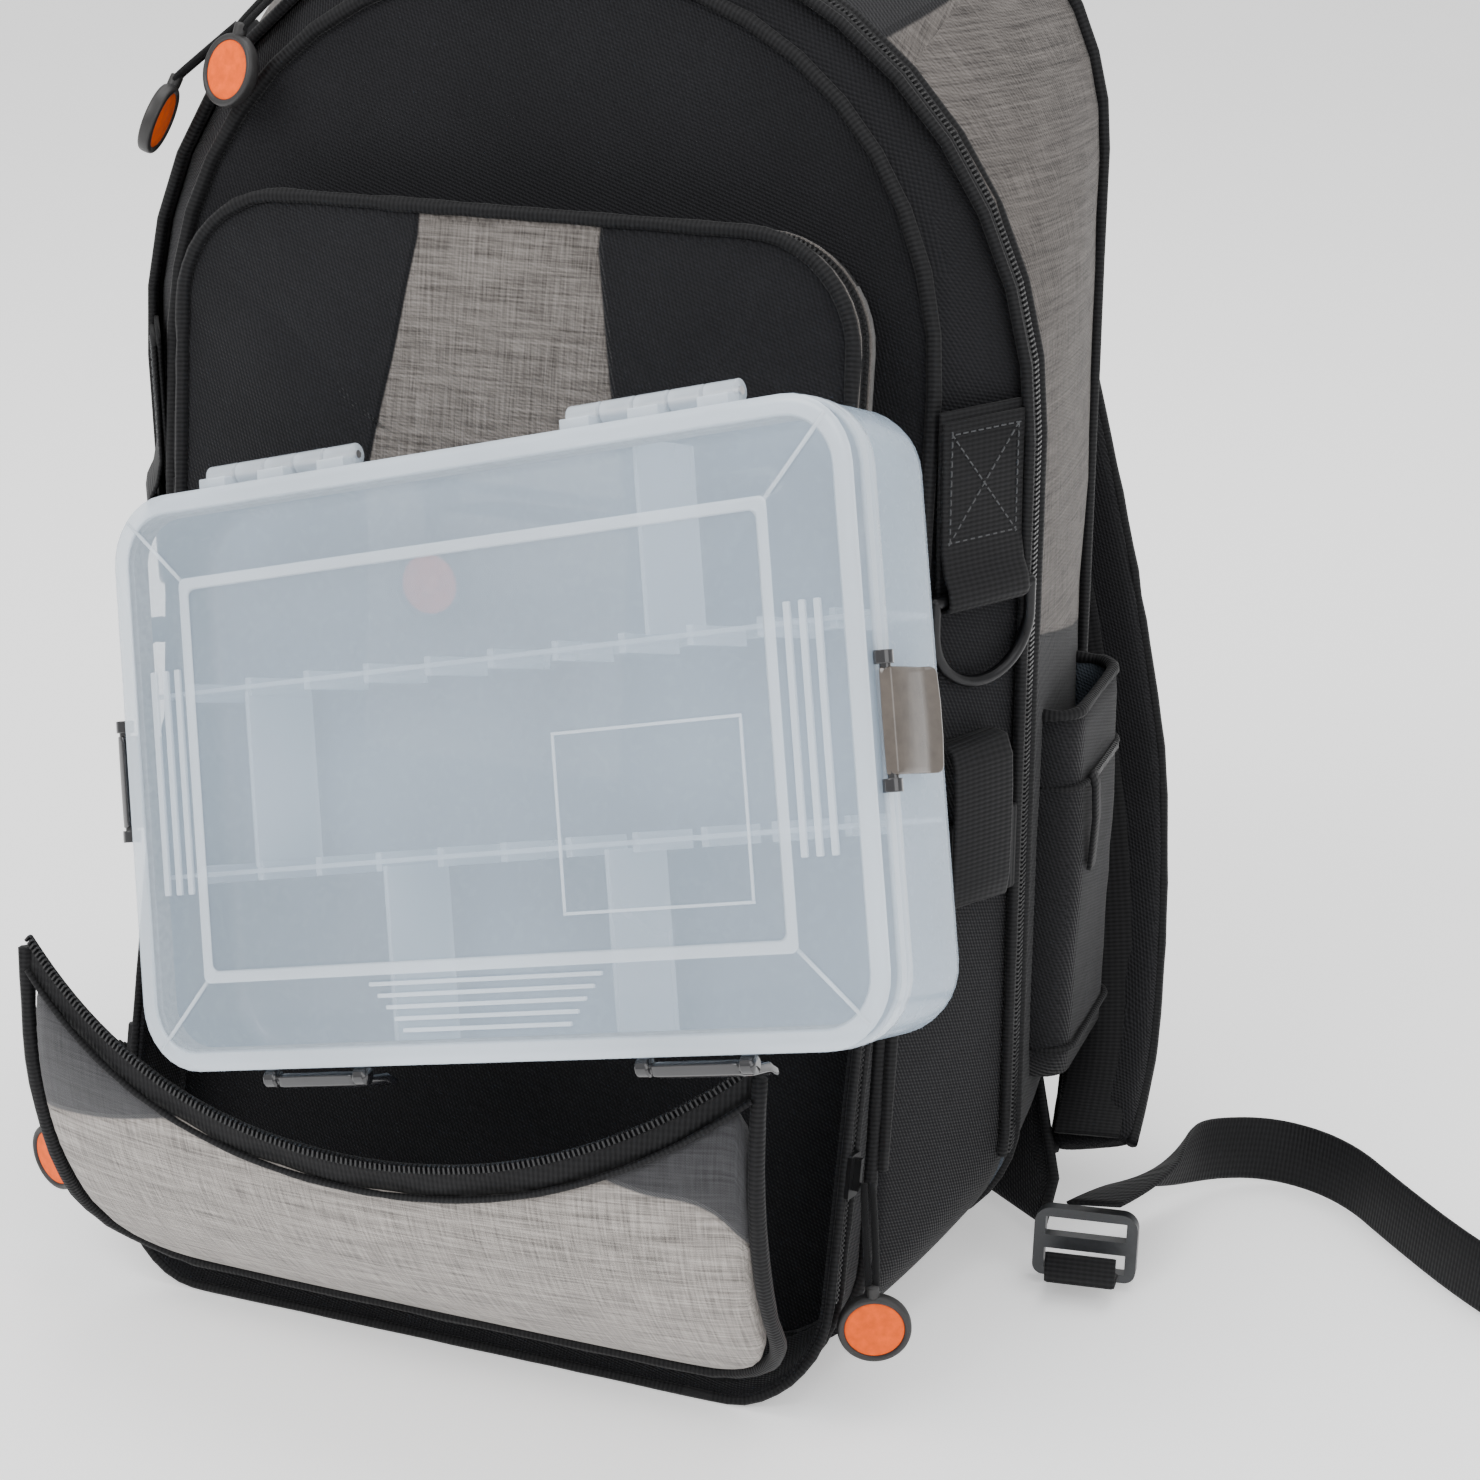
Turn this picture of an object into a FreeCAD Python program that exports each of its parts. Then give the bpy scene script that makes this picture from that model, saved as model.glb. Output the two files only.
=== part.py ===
"""Tackle backpack: a two-section pack with front pockets, harness and a tackle box.

Frame: +Z up, the pack stands on z = 0 and its front faces -Y. The wearer's left strap is on -X.
Everything is drawn in the bag frame, where x = 0 is the plane of symmetry of the pack and
y = ZIP_Y is the plane of the main zip, and is moved by ORIGIN when it is written out, so that
the origin is the middle of the base of the bounding box. Lengths are millimetres.
"""
import FreeCAD, Part
import math
import os

from FreeCAD import Placement, Rotation, Vector

# ---- driving dimensions -------------------------------------------------------------------
ORIGIN = Vector(-18.0, -40.9, 0)    # bag frame to row frame

ZIP_Y = 64.0                # plane of the main zip
ZIP_HALF = 163.0            # half width of the pack at the main zip
ZIP_TOP = 471.0             # top of the main zip
ZIP_R_TOP = 162.0           # radius of the zip's upper corners
ZIP_R_LOW = 55.0
ZIP_GAP = 0.2               # half gap between the two rows of teeth
TAPE_W = 6.0                # width of one zip tape
TAPE_T = 1.8                # thickness of a zip tape

FRONT_Y = -16.0             # foot of the front panel
FRONT_SLOPE = 0.15          # how far the front panel leans back, per unit of height
FRONT_HALF = 137.0
FRONT_TOP = 458.0
FRONT_R_TOP = 126.0
FRONT_R_LOW = 30.0

REAR_Y = 158.0              # back of the rear section
REAR_HALF = 158.0
REAR_TOP = 492.0
REAR_R_TOP = 105.0
REAR_R_LOW = 80.0

WALL = 3.0                  # padded fabric wall

UPPER_HALF = 118.0          # upper pocket, measured in the plane of the front panel
UPPER_LOW = 198.0
UPPER_TOP = 380.0
UPPER_R = 36.0
UPPER_DEPTH = 24.0
COVER_T = 4.0
PIPING = 3.0

LOWER_HALF = 134.0          # lower pocket
LOWER_TOP = 186.0
LOWER_R_LOW = 38.0
LOWER_R_TOP = 28.0
LOWER_RIM_Y = -58.0         # foot of the rim that carries the lower pocket's zip
LOWER_RIM_SLOPE = 0.29

FLAP_HALF = 128.0           # the lower pocket's hanging flap
FLAP_T = 4.0
FLAP_TOP = 154.0
FLAP_SAG = 45.5
FLAP_R_LOW = 34.0
FLAP_PROFILE = [(-61.0, 16.0), (-102.0, 60.0), (-123.0, 108.0), (-123.0, FLAP_TOP)]
FLAP_BACK = [0.0, 11.0, 20.0, 23.0]     # how much further back those points stand at the flap's sides

BOX_W = 275.0               # tackle box
BOX_H = 185.0
BOX_D = 48.0
BOX_LID = 10.0
BOX_R = 22.0
BOX_WALL = 2.2
BOX_POSE = Placement(
    Vector(39, -107, 244),
    Rotation(Vector(0, 0, 1), -12.2) * Rotation(Vector(1, 0, 0), -17.7) * Rotation(Vector(0, 1, 0), -16.1),
)
HINGE_Y = 10.3              # the lid's hinge axis, in the box's own frame
HINGE_Z = BOX_H / 2 + 4.2
HINGE_R = 3.6
PIN_R = 1.25

WEB = 36.0                  # width of the wide webbing
THIN_WEB = 25.0             # width of the harness webbing
D_WIRE = 2.1                # radius of the D-ring's wire
DISC_R = 12.5               # zip puller disc
DISC_T = 5.0
CORD_GAP = 2.8              # between the cord's stand-in and the collar

X, Y, Z = Vector(1, 0, 0), Vector(0, 1, 0), Vector(0, 0, 1)
LEAN = math.degrees(math.atan(FRONT_SLOPE))
SIDES = (("left", -1), ("right", 1))


# ---- helpers ------------------------------------------------------------------------------
def save(name, shape, origin=ORIGIN):
    """Write one node, moved from the bag frame to the row frame."""
    out = shape.copy()
    out.translate(origin)
    out.exportStep(f"parts/{name}.step")
    box = out.optimalBoundingBox()
    print(f"{name:26s} solids {len(out.Solids)} volume {out.Volume:9.0f} valid {out.isValid()}"
          f"  x {box.XMin:.1f} {box.XMax:.1f}  y {box.YMin:.1f} {box.YMax:.1f}"
          f"  z {box.ZMin:.1f} {box.ZMax:.1f}")


def block(x0, x1, y0, y1, z0, z1):
    return Part.makeBox(x1 - x0, y1 - y0, z1 - z0, Vector(x0, y0, z0))


def rounded_wire(half, low, top, r_low, r_top, y):
    """Closed outline in the plane y, with an arc at each corner."""
    def corner(cx, cz, r, start):
        at = [Vector(cx + r * math.cos(a), y, cz + r * math.sin(a))
              for a in (math.radians(start + step) for step in (0, 45, 90))]
        return Part.Arc(*at).toShape()

    arcs = [
        corner(half - r_low, low + r_low, r_low, -90),
        corner(half - r_top, top - r_top, r_top, 0),
        corner(r_top - half, top - r_top, r_top, 90),
        corner(r_low - half, low + r_low, r_low, 180),
    ]
    edges = []
    for i, edge in enumerate(arcs):
        following = arcs[(i + 1) % 4]
        edges.append(edge)
        start, end = edge.lastVertex(True).Point, following.firstVertex(True).Point
        edges.append(Part.LineSegment(start, end).toShape())
    return Part.Wire(edges)


def rounded_prism(half, low, top, r_low, r_top, y0, y1):
    wire = rounded_wire(half, low, top, r_low, r_top, y0)
    return Part.Face(wire).extrude(Vector(0, y1 - y0, 0))


def ring(half, low, top, r_low, r_top, wall, y0, y1):
    outer = rounded_prism(half, low, top, r_low, r_top, y0, y1)
    inner = rounded_prism(half - wall, low + wall, top - wall, r_low - wall, r_top - wall, y0 - 1, y1 + 1)
    return outer.cut(inner)


def lean_back(shape):
    """Turn something drawn on the upright plane FRONT_Y into the plane of the front panel."""
    out = shape.copy()
    out.rotate(Vector(0, FRONT_Y, 0), X, -LEAN)
    return out


def mirrored(shape, sign):
    return shape.mirror(Vector(0, 0, 0), X) if sign < 0 else shape


def polygon_prism(points, along, length):
    """Prism over a closed polygon of (y, z) or (x, y) or (x, z) points, along X, Z or Y."""
    place = {"x": lambda p: Vector(0, p[0], p[1]), "y": lambda p: Vector(p[0], 0, p[1]),
             "z": lambda p: Vector(p[0], p[1], 0)}[along]
    wire = Part.makePolygon([place(p) for p in points + points[:1]])
    direction = {"x": X, "y": Y, "z": Z}[along]
    return Part.Face(wire).extrude(direction * length)


def thick_line(points, thickness):
    """Closed outline of a bent strip: the points offset half a thickness to each side."""
    half = thickness / 2
    left, right = [], []
    for i, (a, b) in enumerate(points):
        before = points[max(i - 1, 0)]
        after = points[min(i + 1, len(points) - 1)]
        dirs = []
        for p, q in ((before, (a, b)), ((a, b), after)):
            length = math.hypot(q[0] - p[0], q[1] - p[1])
            if length > 0:
                dirs.append(((q[0] - p[0]) / length, (q[1] - p[1]) / length))
        dx = sum(d[0] for d in dirs) / len(dirs)
        dy = sum(d[1] for d in dirs) / len(dirs)
        scale = half / (dx * dx + dy * dy)
        left.append((a - dy * scale, b + dx * scale))
        right.append((a + dy * scale, b - dx * scale))
    return left + right[::-1]


def curved_profile(points, steps):
    """Points of a smooth curve through (y, z) points: a Catmull-Rom spline."""
    ends = [points[0]] + points + [points[-1]]
    out = []
    for i in range(1, len(ends) - 2):
        p0, p1, p2, p3 = ends[i - 1:i + 3]
        for k in range(steps):
            t = k / steps
            out.append(tuple(
                0.5 * (2 * p1[j] + (p2[j] - p0[j]) * t + (2 * p0[j] - 5 * p1[j] + 4 * p2[j] - p3[j]) * t**2
                       + (3 * p1[j] - p0[j] - 3 * p2[j] + p3[j]) * t**3) for j in (0, 1)))
    return out + [points[-1]]


def round_bar(start, end, radius):
    axis = end.sub(start)
    return Part.makeCylinder(radius, axis.Length, start, axis)


def gusset_frame(z, along, out):
    """Placement on the front section's side gusset: local X runs back along it, -Y points out."""
    front = Vector(FRONT_HALF, FRONT_Y + FRONT_SLOPE * z, z)
    back = Vector(ZIP_HALF, ZIP_Y, z)
    run = back.sub(front)
    turn = math.degrees(math.atan2(run.y, run.x))
    normal = Vector(run.y, -run.x, 0).normalize()
    return Placement(front + run * along + normal * out, Rotation(Z, turn))


# ---- the two sections ---------------------------------------------------------------------
def rear_outer(grow=0.0):
    start = ZIP_Y + ZIP_GAP + TAPE_T
    near = rounded_wire(ZIP_HALF + grow, -grow, ZIP_TOP + grow, ZIP_R_LOW + grow, ZIP_R_TOP + grow, start)
    far = rounded_wire(REAR_HALF + grow, -grow, REAR_TOP + grow, REAR_R_LOW + grow, REAR_R_TOP + grow,
                       REAR_Y + grow)
    return Part.makeLoft([near, far], True, True)


def rear_section():
    shell = rear_outer().cut(rear_outer(-WALL))
    return shell


def front_outer(grow=0.0):
    end = ZIP_Y - ZIP_GAP - TAPE_T
    near = rounded_wire(FRONT_HALF + grow, -grow, FRONT_TOP + grow, FRONT_R_LOW + grow, FRONT_R_TOP + grow,
                        FRONT_Y - grow)
    near.rotate(Vector(0, FRONT_Y, 0), X, -LEAN)
    far = rounded_wire(ZIP_HALF + grow, -grow, ZIP_TOP + grow, ZIP_R_LOW + grow, ZIP_R_TOP + grow, end)
    return Part.makeLoft([near, far], True, True)


def front_section():
    return front_outer().cut(front_outer(-WALL)).cut(block(-400, 400, ZIP_Y - ZIP_GAP - TAPE_T, 400, -50, 600))


def main_zip(front):
    """One tape of the main zip: it runs up both sides and over the top, not along the base."""
    y0 = ZIP_Y - ZIP_GAP - TAPE_T if front else ZIP_Y + ZIP_GAP
    band = ring(ZIP_HALF, 0, ZIP_TOP, ZIP_R_LOW, ZIP_R_TOP, TAPE_W, y0, y0 + TAPE_T)
    return band.cut(block(-400, 400, y0 - 5, y0 + 5, -10, 46))


def front_piping():
    rim = ring(FRONT_HALF + 1.5, 3, FRONT_TOP + 1.5, FRONT_R_LOW, FRONT_R_TOP + 1.5, 2.8,
               FRONT_Y - 3, FRONT_Y + 2)
    rim = lean_back(rim).cut(front_outer(0.05))
    return rim.cut(block(-LOWER_HALF - 6, LOWER_HALF + 6, -80, 60, -5, 60))


# ---- front pockets ------------------------------------------------------------------------
def upper_gusset():
    y1 = FRONT_Y
    wall = ring(UPPER_HALF, UPPER_LOW, UPPER_TOP, UPPER_R, UPPER_R, WALL, y1 - UPPER_DEPTH, y1)
    return lean_back(wall)


def upper_cover():
    y1 = FRONT_Y - UPPER_DEPTH - 0.4
    return lean_back(rounded_prism(UPPER_HALF, UPPER_LOW, UPPER_TOP, UPPER_R, UPPER_R, y1 - COVER_T, y1))


def upper_piping():
    y1 = FRONT_Y - UPPER_DEPTH - 0.4
    rim = ring(UPPER_HALF + PIPING, UPPER_LOW - PIPING, UPPER_TOP + PIPING, UPPER_R + PIPING, UPPER_R + PIPING,
               PIPING, y1 - COVER_T - 1, y1 - COVER_T + PIPING)
    return lean_back(rim)


SLIP_Z = 292.0              # slip pocket's zip, up the cover
SLIP_HALF = 80.0


def slip_zip():
    y1 = FRONT_Y - UPPER_DEPTH - 0.4 - COVER_T
    return lean_back(block(-SLIP_HALF, SLIP_HALF, y1 - 1.4, y1, SLIP_Z - 9, SLIP_Z + 9))


def lower_gusset():
    walls = ring(LOWER_HALF, 0, LOWER_TOP, LOWER_R_LOW, LOWER_R_TOP, WALL, LOWER_RIM_Y - 20, 40)
    walls = walls.cut(front_outer())
    top = 220.0
    rim = [(-200.0, -60.0), (LOWER_RIM_Y - 60 * LOWER_RIM_SLOPE, -60.0),
           (LOWER_RIM_Y + top * LOWER_RIM_SLOPE, top), (-200.0, top)]
    away = polygon_prism(rim, "x", 600)
    away.translate(Vector(-300, 0, 0))
    walls = walls.cut(away)
    inside = polygon_prism([(FRONT_Y + 1, -20), (FRONT_Y + 1 + 240 * FRONT_SLOPE, 220), (200, 220), (200, -20)],
                           "x", 600)
    inside.translate(Vector(-300, 0, 0))
    return walls.cut(inside)


def flap_blank(thickness, grow):
    """Bowed slab: its sides curl back towards the pocket, and its lower edge is straight."""
    half = FLAP_HALF + grow
    sections = []
    for step in range(-3, 4):
        share = (step / 3)**2
        profile = [(y + back * share, z) for (y, z), back in zip(FLAP_PROFILE, FLAP_BACK)]
        outline = thick_line(curved_profile(profile, 4), thickness)
        corners = [Vector(half * step / 3, y, z) for y, z in outline]
        sections.append(Part.makePolygon(corners + corners[:1]))
    return Part.makeLoft(sections, True, True)


def sag_cutter(drop):
    """Cylinder above the flap's top edge, which hangs lower in the middle than at its ends."""
    radius = (FLAP_HALF**2 + FLAP_SAG**2) / (2 * FLAP_SAG)
    centre = Vector(0, -300, FLAP_TOP - FLAP_SAG + radius)
    return Part.makeCylinder(radius + drop, 400, centre, Y)


def flap_outline(grow):
    return rounded_prism(FLAP_HALF + grow, FLAP_PROFILE[0][1] - grow, FLAP_TOP + 60, FLAP_R_LOW + grow, 8,
                         -200, 0)


def flap_panel():
    return flap_blank(FLAP_T, 0).common(flap_outline(0)).cut(sag_cutter(12))


def flap_zip():
    tape = flap_blank(2.4, 0).common(flap_outline(0)).common(sag_cutter(12)).cut(sag_cutter(0))
    return tape


def flap_piping():
    band = flap_blank(6.0, PIPING).common(flap_outline(PIPING)).cut(flap_outline(0))
    return band.cut(sag_cutter(6))


# ---- webbing on the side gussets ----------------------------------------------------------
D_BAR_Z = 263.0             # height of the D-ring's bar
D_OUT = 6.2                 # how far the bar stands off the gusset
D_ALONG = 0.48              # where it stands across the gusset, front to back
BAND_Z = (153.0, 184.0)     # side band
LOOP_Z = (156.0, 216.0)     # upright loop sewn over the band


def d_web():
    place = gusset_frame(D_BAR_Z + 30, D_ALONG, 1.6)
    strap = block(-WEB / 2, WEB / 2, -2.0, 0, -30, 32)
    strap.Placement = place
    strap = strap.cut(front_outer(0.2))
    bar = gusset_frame(D_BAR_Z, D_ALONG, D_OUT)
    loop = Part.makeCylinder(D_WIRE + 2.4, WEB - 2, Vector(-(WEB - 2) / 2, 0, 0), X)
    loop = loop.cut(Part.makeCylinder(D_WIRE + 0.4, WEB, Vector(-WEB / 2, 0, 0), X))
    loop.Placement = bar
    return loop.fuse(strap)


def d_ring():
    half = WEB / 2 + 2.4
    bar = Part.makeCylinder(D_WIRE, 2 * half, Vector(-half, 0, 0), X)
    bow = Part.makeTorus(half, D_WIRE, Vector(0, 0, -10), Y, 0, 360)
    bow = bow.cut(block(-60, 60, -20, 20, -10, 60))
    legs = [Part.makeCylinder(D_WIRE, 10, Vector(s * half, 0, -10), Z) for s in (-1, 1)]
    caps = [Part.makeSphere(D_WIRE, Vector(s * half, 0, 0)) for s in (-1, 1)]
    ring_shape = bar.fuse([bow] + legs + caps)
    ring_shape.Placement = gusset_frame(D_BAR_Z, D_ALONG, D_OUT)
    return ring_shape


def side_loop():
    middle = sum(BAND_Z) / 2
    band = block(-WEB / 2 - 3, WEB / 2 + 5, -2.0, 0, BAND_Z[0] - middle, BAND_Z[1] - middle)
    band.Placement = gusset_frame(middle, 0.5, 3.2)
    low, high = LOOP_Z[0] - middle, LOOP_Z[1] - middle
    bow = block(-THIN_WEB / 2, THIN_WEB / 2, -9.6, -7.6, low + 6, high - 4)
    foot = block(-THIN_WEB / 2, THIN_WEB / 2, -9.6, -2.0, low, low + 6)
    head = block(-THIN_WEB / 2, THIN_WEB / 2, -9.6, 2.5, high - 4, high)
    loop = bow.fuse([foot, head])
    loop.Placement = gusset_frame(middle, 0.46, 3.2)
    return band.fuse(loop).cut(front_outer(0.2)).removeSplitter()


# ---- zip sliders and pullers --------------------------------------------------------------
def slider(length, across, height):
    """Slider body with its bridge, long in Z, standing out along -Y from the zip."""
    body = block(-across / 2, across / 2, -height * 0.55, 0, -length / 2, length / 2)
    body = body.makeFillet(0.9, [e for e in body.Edges if abs(e.tangentAt(e.FirstParameter).y) > 0.9])
    bridge = block(-1.3, 1.3, -height, -height * 0.55, -length * 0.32, length * 0.4)
    return body.fuse(bridge).removeSplitter()


def collar_ends(centre, normal, eye):
    """Inner and outer end of a disc's collar: it points at the slider's eye, in the disc's plane."""
    axis = Vector(normal).normalize()
    towards = eye.sub(centre)
    towards = (towards - axis * towards.dot(axis)).normalize()
    return centre + towards * (DISC_R - 2.5), centre + towards * (DISC_R + 4.0)


def disc(centre, normal, eye):
    """Moulded puller disc with the short collar that holds the cord's knot."""
    axis = Vector(normal).normalize()
    puck = Part.makeCylinder(DISC_R, DISC_T, centre - axis * (DISC_T / 2), axis)
    puck = puck.makeFillet(1.0, [e for e in puck.Edges if e.Curve.TypeId == "Part::GeomCircle"])
    return puck.fuse(round_bar(*collar_ends(centre, normal, eye), 2.2)).removeSplitter()


def pull_cord(centre, normal, eye):
    """The doubled cord between a slider's eye and its disc."""
    end = collar_ends(centre, normal, eye)[1]
    return round_bar(eye, end + eye.sub(end).normalize() * CORD_GAP, 1.7)


MAIN_ARC = Vector(0, ZIP_Y, ZIP_TOP - ZIP_R_TOP)    # the sliders travel round this point
MAIN_ANGLES = (125.0, 136.0)
MAIN_DISCS = ((Vector(-113.0, 37.0, 417.0), Vector(-0.35, -0.9, 0.3)),
              (Vector(-146.0, 43.0, 398.0), Vector(-0.9, -0.2, 0.39)))


def main_slider(angle):
    body = slider(13.0, 7.0, 5.0)
    turn = Rotation(Y, -(angle - 90.0)) * Rotation(X, -90) * Rotation(Y, 90)
    reach = ZIP_HALF + 1.0
    a = math.radians(angle)
    place = MAIN_ARC + Vector(reach * math.cos(a), 0, reach * math.sin(a))
    body.Placement = Placement(place, turn)
    return body


def main_eye(angle):
    a = math.radians(angle)
    return MAIN_ARC + Vector((ZIP_HALF + 9.0) * math.cos(a), -1.5, (ZIP_HALF + 9.0) * math.sin(a))


def lower_slider(sign):
    z = 80.0
    body = slider(15.0, 10.0, 5.0)
    y = LOWER_RIM_Y + LOWER_RIM_SLOPE * z + 4
    lean = math.degrees(math.atan(LOWER_RIM_SLOPE))
    body.Placement = Placement(Vector(LOWER_HALF + 0.4, y, z), Rotation(X, -lean) * Rotation(Z, 90))
    return mirrored(body, sign)


LOWER_EYE = Vector(LOWER_HALF + 7.8, -30.5, 78.0)
LOWER_DISCS = {1: (Vector(148.6, -42.0, 31.0), Vector(0.35, -0.94, 0)),
               -1: (Vector(-152.5, -62.0, 46.0), Vector(-0.35, -0.94, 0))}


def upper_slider(height):
    """Slider on the side of the upper pocket, with its short braided tab hanging."""
    body = slider(13.0, 9.0, 5.0).fuse(block(-2.0, 2.0, -8.2, -4.8, -14.5, 2.0))
    body.Placement = Placement(Vector(-UPPER_HALF - 3.4, FRONT_Y - 14, height), Rotation(Z, -90))
    return lean_back(body)


SLIP_DISC_DROP = 31.0
SLIP_X = -20.0


def slip_slider():
    y1 = FRONT_Y - UPPER_DEPTH - 0.4 - COVER_T - 1.4 - 0.3
    body = slider(10.0, 13.0, 5.0)
    body.translate(Vector(SLIP_X, y1, SLIP_Z))
    return lean_back(body)


def slip_eye():
    point = Part.Vertex(Vector(SLIP_X, FRONT_Y - UPPER_DEPTH - COVER_T - 9.2, SLIP_Z - 2))
    return lean_back(point).Point


# ---- harness ------------------------------------------------------------------------------
STRAP_W = 54.0
STRAP_END_W = 30.0
STRAP_T = 14.0
STRAP_PATHS = {
    1: [(167.0, 440.0), (200.0, 420.0), (222.0, 370.0), (228.0, 290.0), (220.0, 190.0), (192.0, 100.0),
        (148.0, 40.0), (102.0, 16.0)],
    -1: [(167.0, 440.0), (200.0, 420.0), (222.0, 370.0), (228.0, 290.0), (220.0, 190.0), (206.0, 110.0),
         (196.0, 44.0)],
}
STRAP_X = 72.0
STRAP_SPLAY = {1: 15.5, -1: -5.0}


def shoulder_strap(sign):
    points = curved_profile(STRAP_PATHS[sign], 4)
    strap = polygon_prism(thick_line(points, STRAP_T), "x", STRAP_W)
    strap.translate(Vector(sign * STRAP_X - STRAP_W / 2, 0, 0))
    top_z = STRAP_PATHS[sign][0][1]
    taper = [(-STRAP_W / 2, 500.0), (STRAP_W / 2, 500.0), (STRAP_W / 2, 130.0), (STRAP_END_W / 2, 10.0),
             (-STRAP_END_W / 2, 10.0), (-STRAP_W / 2, 130.0)]
    outline = polygon_prism([(sign * STRAP_X + x, z) for x, z in taper], "y", 400)
    strap = strap.common(outline)
    strap.rotate(Vector(sign * STRAP_X, 0, top_z), Y, -STRAP_SPLAY[sign])
    return strap.cut(rear_outer(0.4)).cut(block(-400, 400, -400, 400, -200, 1.0))


def back_pad(sign):
    pad = rounded_prism(50, 96, 418, 30, 40, REAR_Y + 0.5, REAR_Y + 13)
    pad.translate(Vector(sign * 58, 0, 0))
    return pad


def frame_sheet():
    return rounded_prism(140, 40, 460, 60, 90, REAR_Y - 8.0, REAR_Y - 5.5)


def haul_handle():
    bow = ring(38, 440, 526, 30, 36, 3.0, 128, 152)
    return bow.cut(rear_outer())


POCKET_Z = (66.0, 206.0)
POCKET_Y = (86.0, 148.0)
POCKET_OUT = 177.0


def side_pocket():
    """Pouch on the side of the rear section, open at the top; the pack's side is its inner wall."""
    outer = block(140, POCKET_OUT, *POCKET_Y, *POCKET_Z)
    upright = [e for e in outer.Edges if abs(e.tangentAt(e.FirstParameter).z) > 0.9 and e.BoundBox.XMin > 150]
    outer = outer.makeFillet(10.0, upright)
    inner = block(130, POCKET_OUT - 2.5, POCKET_Y[0] + 2.5, POCKET_Y[1] - 2.5, POCKET_Z[0] + 2.5, 300)
    upright = [e for e in inner.Edges if abs(e.tangentAt(e.FirstParameter).z) > 0.9 and e.BoundBox.XMin > 150]
    inner = inner.makeFillet(7.5, upright)
    return outer.cut(inner).cut(rear_outer())


LOCK = {1: Placement(Vector(194, 62, 15), Rotation(Z, 8) * Rotation(X, -12)),
        -1: Placement(Vector(-104, 186, 19), Rotation(Z, 0))}


def ladder_lock(sign):
    """Ladder-lock buckle: a frame with two slots and a middle bar."""
    frame = rounded_prism(18.5, -12.5, 12.5, 4, 6, -3.2, 3.2)
    for low, high in ((-9.5, -2.4), (2.4, 9.2)):
        frame = frame.cut(block(-14.5, 14.5, -10, 10, low, high))
    frame.Placement = LOCK[sign]
    return frame


def strap_wing(sign):
    """Sewn wing from the pack's lower corner, with the webbing that it carries to the buckle."""
    if sign > 0:
        corners = [Vector(118, 118, 6), Vector(150, 134, 62), Vector(176, 84, 24), Vector(172, 80, 6)]
        loop = block(-THIN_WEB / 2, THIN_WEB / 2, -18, -5.0, -11.0, -8.6)
        back = block(-THIN_WEB / 2, THIN_WEB / 2, -18, -15.8, -8.6, 1.0)
        web = loop.fuse(back)
        web.Placement = LOCK[sign]
    else:
        corners = [Vector(-110, 158.6, 14), Vector(-110, 158.6, 70), Vector(-110, 181, 32), Vector(-110, 181, 8)]
        web = block(-THIN_WEB / 2, THIN_WEB / 2, 5.0, 7.2, -12.0, 14.0)
        web.Placement = LOCK[sign]
    face = Part.Face(Part.makePolygon(corners[:3] + corners[:1]))
    lower = Part.Face(Part.makePolygon([corners[0], corners[2], corners[3], corners[0]]))
    normal = Vector(1, 0, 0) if sign < 0 else Vector(0.75, 0.62, 0).normalize()
    plate = face.extrude(normal * 3.0).fuse(lower.extrude(normal * 3.0))
    plate = plate.cut(rear_outer(0.2)).cut(shoulder_strap(sign)).cut(block(-400, 400, -400, 400, -200, 1.0))
    return Part.makeCompound([plate, web])


# Route of the right shoulder strap's loose tail, lying on edge on the ground.
TAIL_POINTS = [Vector(197, 59, 33), Vector(208, 85, 31), Vector(212, 114, 25), Vector(221, 141, 18),
               Vector(243, 158, 13.5), Vector(271, 150, 13.5), Vector(295, 124, 13.5), Vector(322, 97, 13.5),
               Vector(352, 74, 13.5), Vector(382, 68, 13.5), Vector(410, 80, 13.5)]
TAIL_R = 4.0


def strap_tail():
    """Round stand-in for the flat webbing: straight runs joined by arcs as large as they allow."""
    edges, radii = [], []
    last = TAIL_POINTS[0]
    for before, point, after in zip(TAIL_POINTS, TAIL_POINTS[1:], TAIL_POINTS[2:]):
        into, out = point.sub(before), after.sub(point)
        run = min(into.Length, out.Length)
        u, v = Vector(into).normalize(), Vector(out).normalize()
        turn = math.acos(max(-1.0, min(1.0, u.dot(v))))
        radius = 0.45 * run / math.tan(turn / 2)
        radii.append(radius)
        start, end = point - u * 0.45 * run, point + v * 0.45 * run
        middle = Vector(v - u).normalize()
        arc_mid = point + middle * (radius / math.cos(turn / 2) - radius)
        if start.sub(last).Length > 1e-6:
            edges.append(Part.LineSegment(last, start).toShape())
        edges.append(Part.Arc(start, arc_mid, end).toShape())
        last = end
    edges.append(Part.LineSegment(last, TAIL_POINTS[-1]).toShape())
    path = Part.Wire(edges)
    first = TAIL_POINTS[1].sub(TAIL_POINTS[0])
    section = Part.Wire(Part.makeCircle(TAIL_R, TAIL_POINTS[0], first))
    tube = path.makePipeShell([section], True, True)
    print("tail length", round(path.Length, 1), "radii", [round(r) for r in radii],
          "volume ratio", round(tube.Volume / (math.pi * TAIL_R**2 * path.Length), 4))
    return tube


# ---- tackle box, drawn upright with the middle of its lid's face at the origin ------------
def box_prism(inset, y0, y1):
    half = BOX_W / 2 - inset
    tall = BOX_H / 2 - inset
    radius = max(BOX_R - inset, 3)
    return rounded_prism(half, -tall, tall, radius, radius, y0, y1)


KNUCKLES = (-72.0, 68.0)
KNUCKLE_L = 11.0


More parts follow.
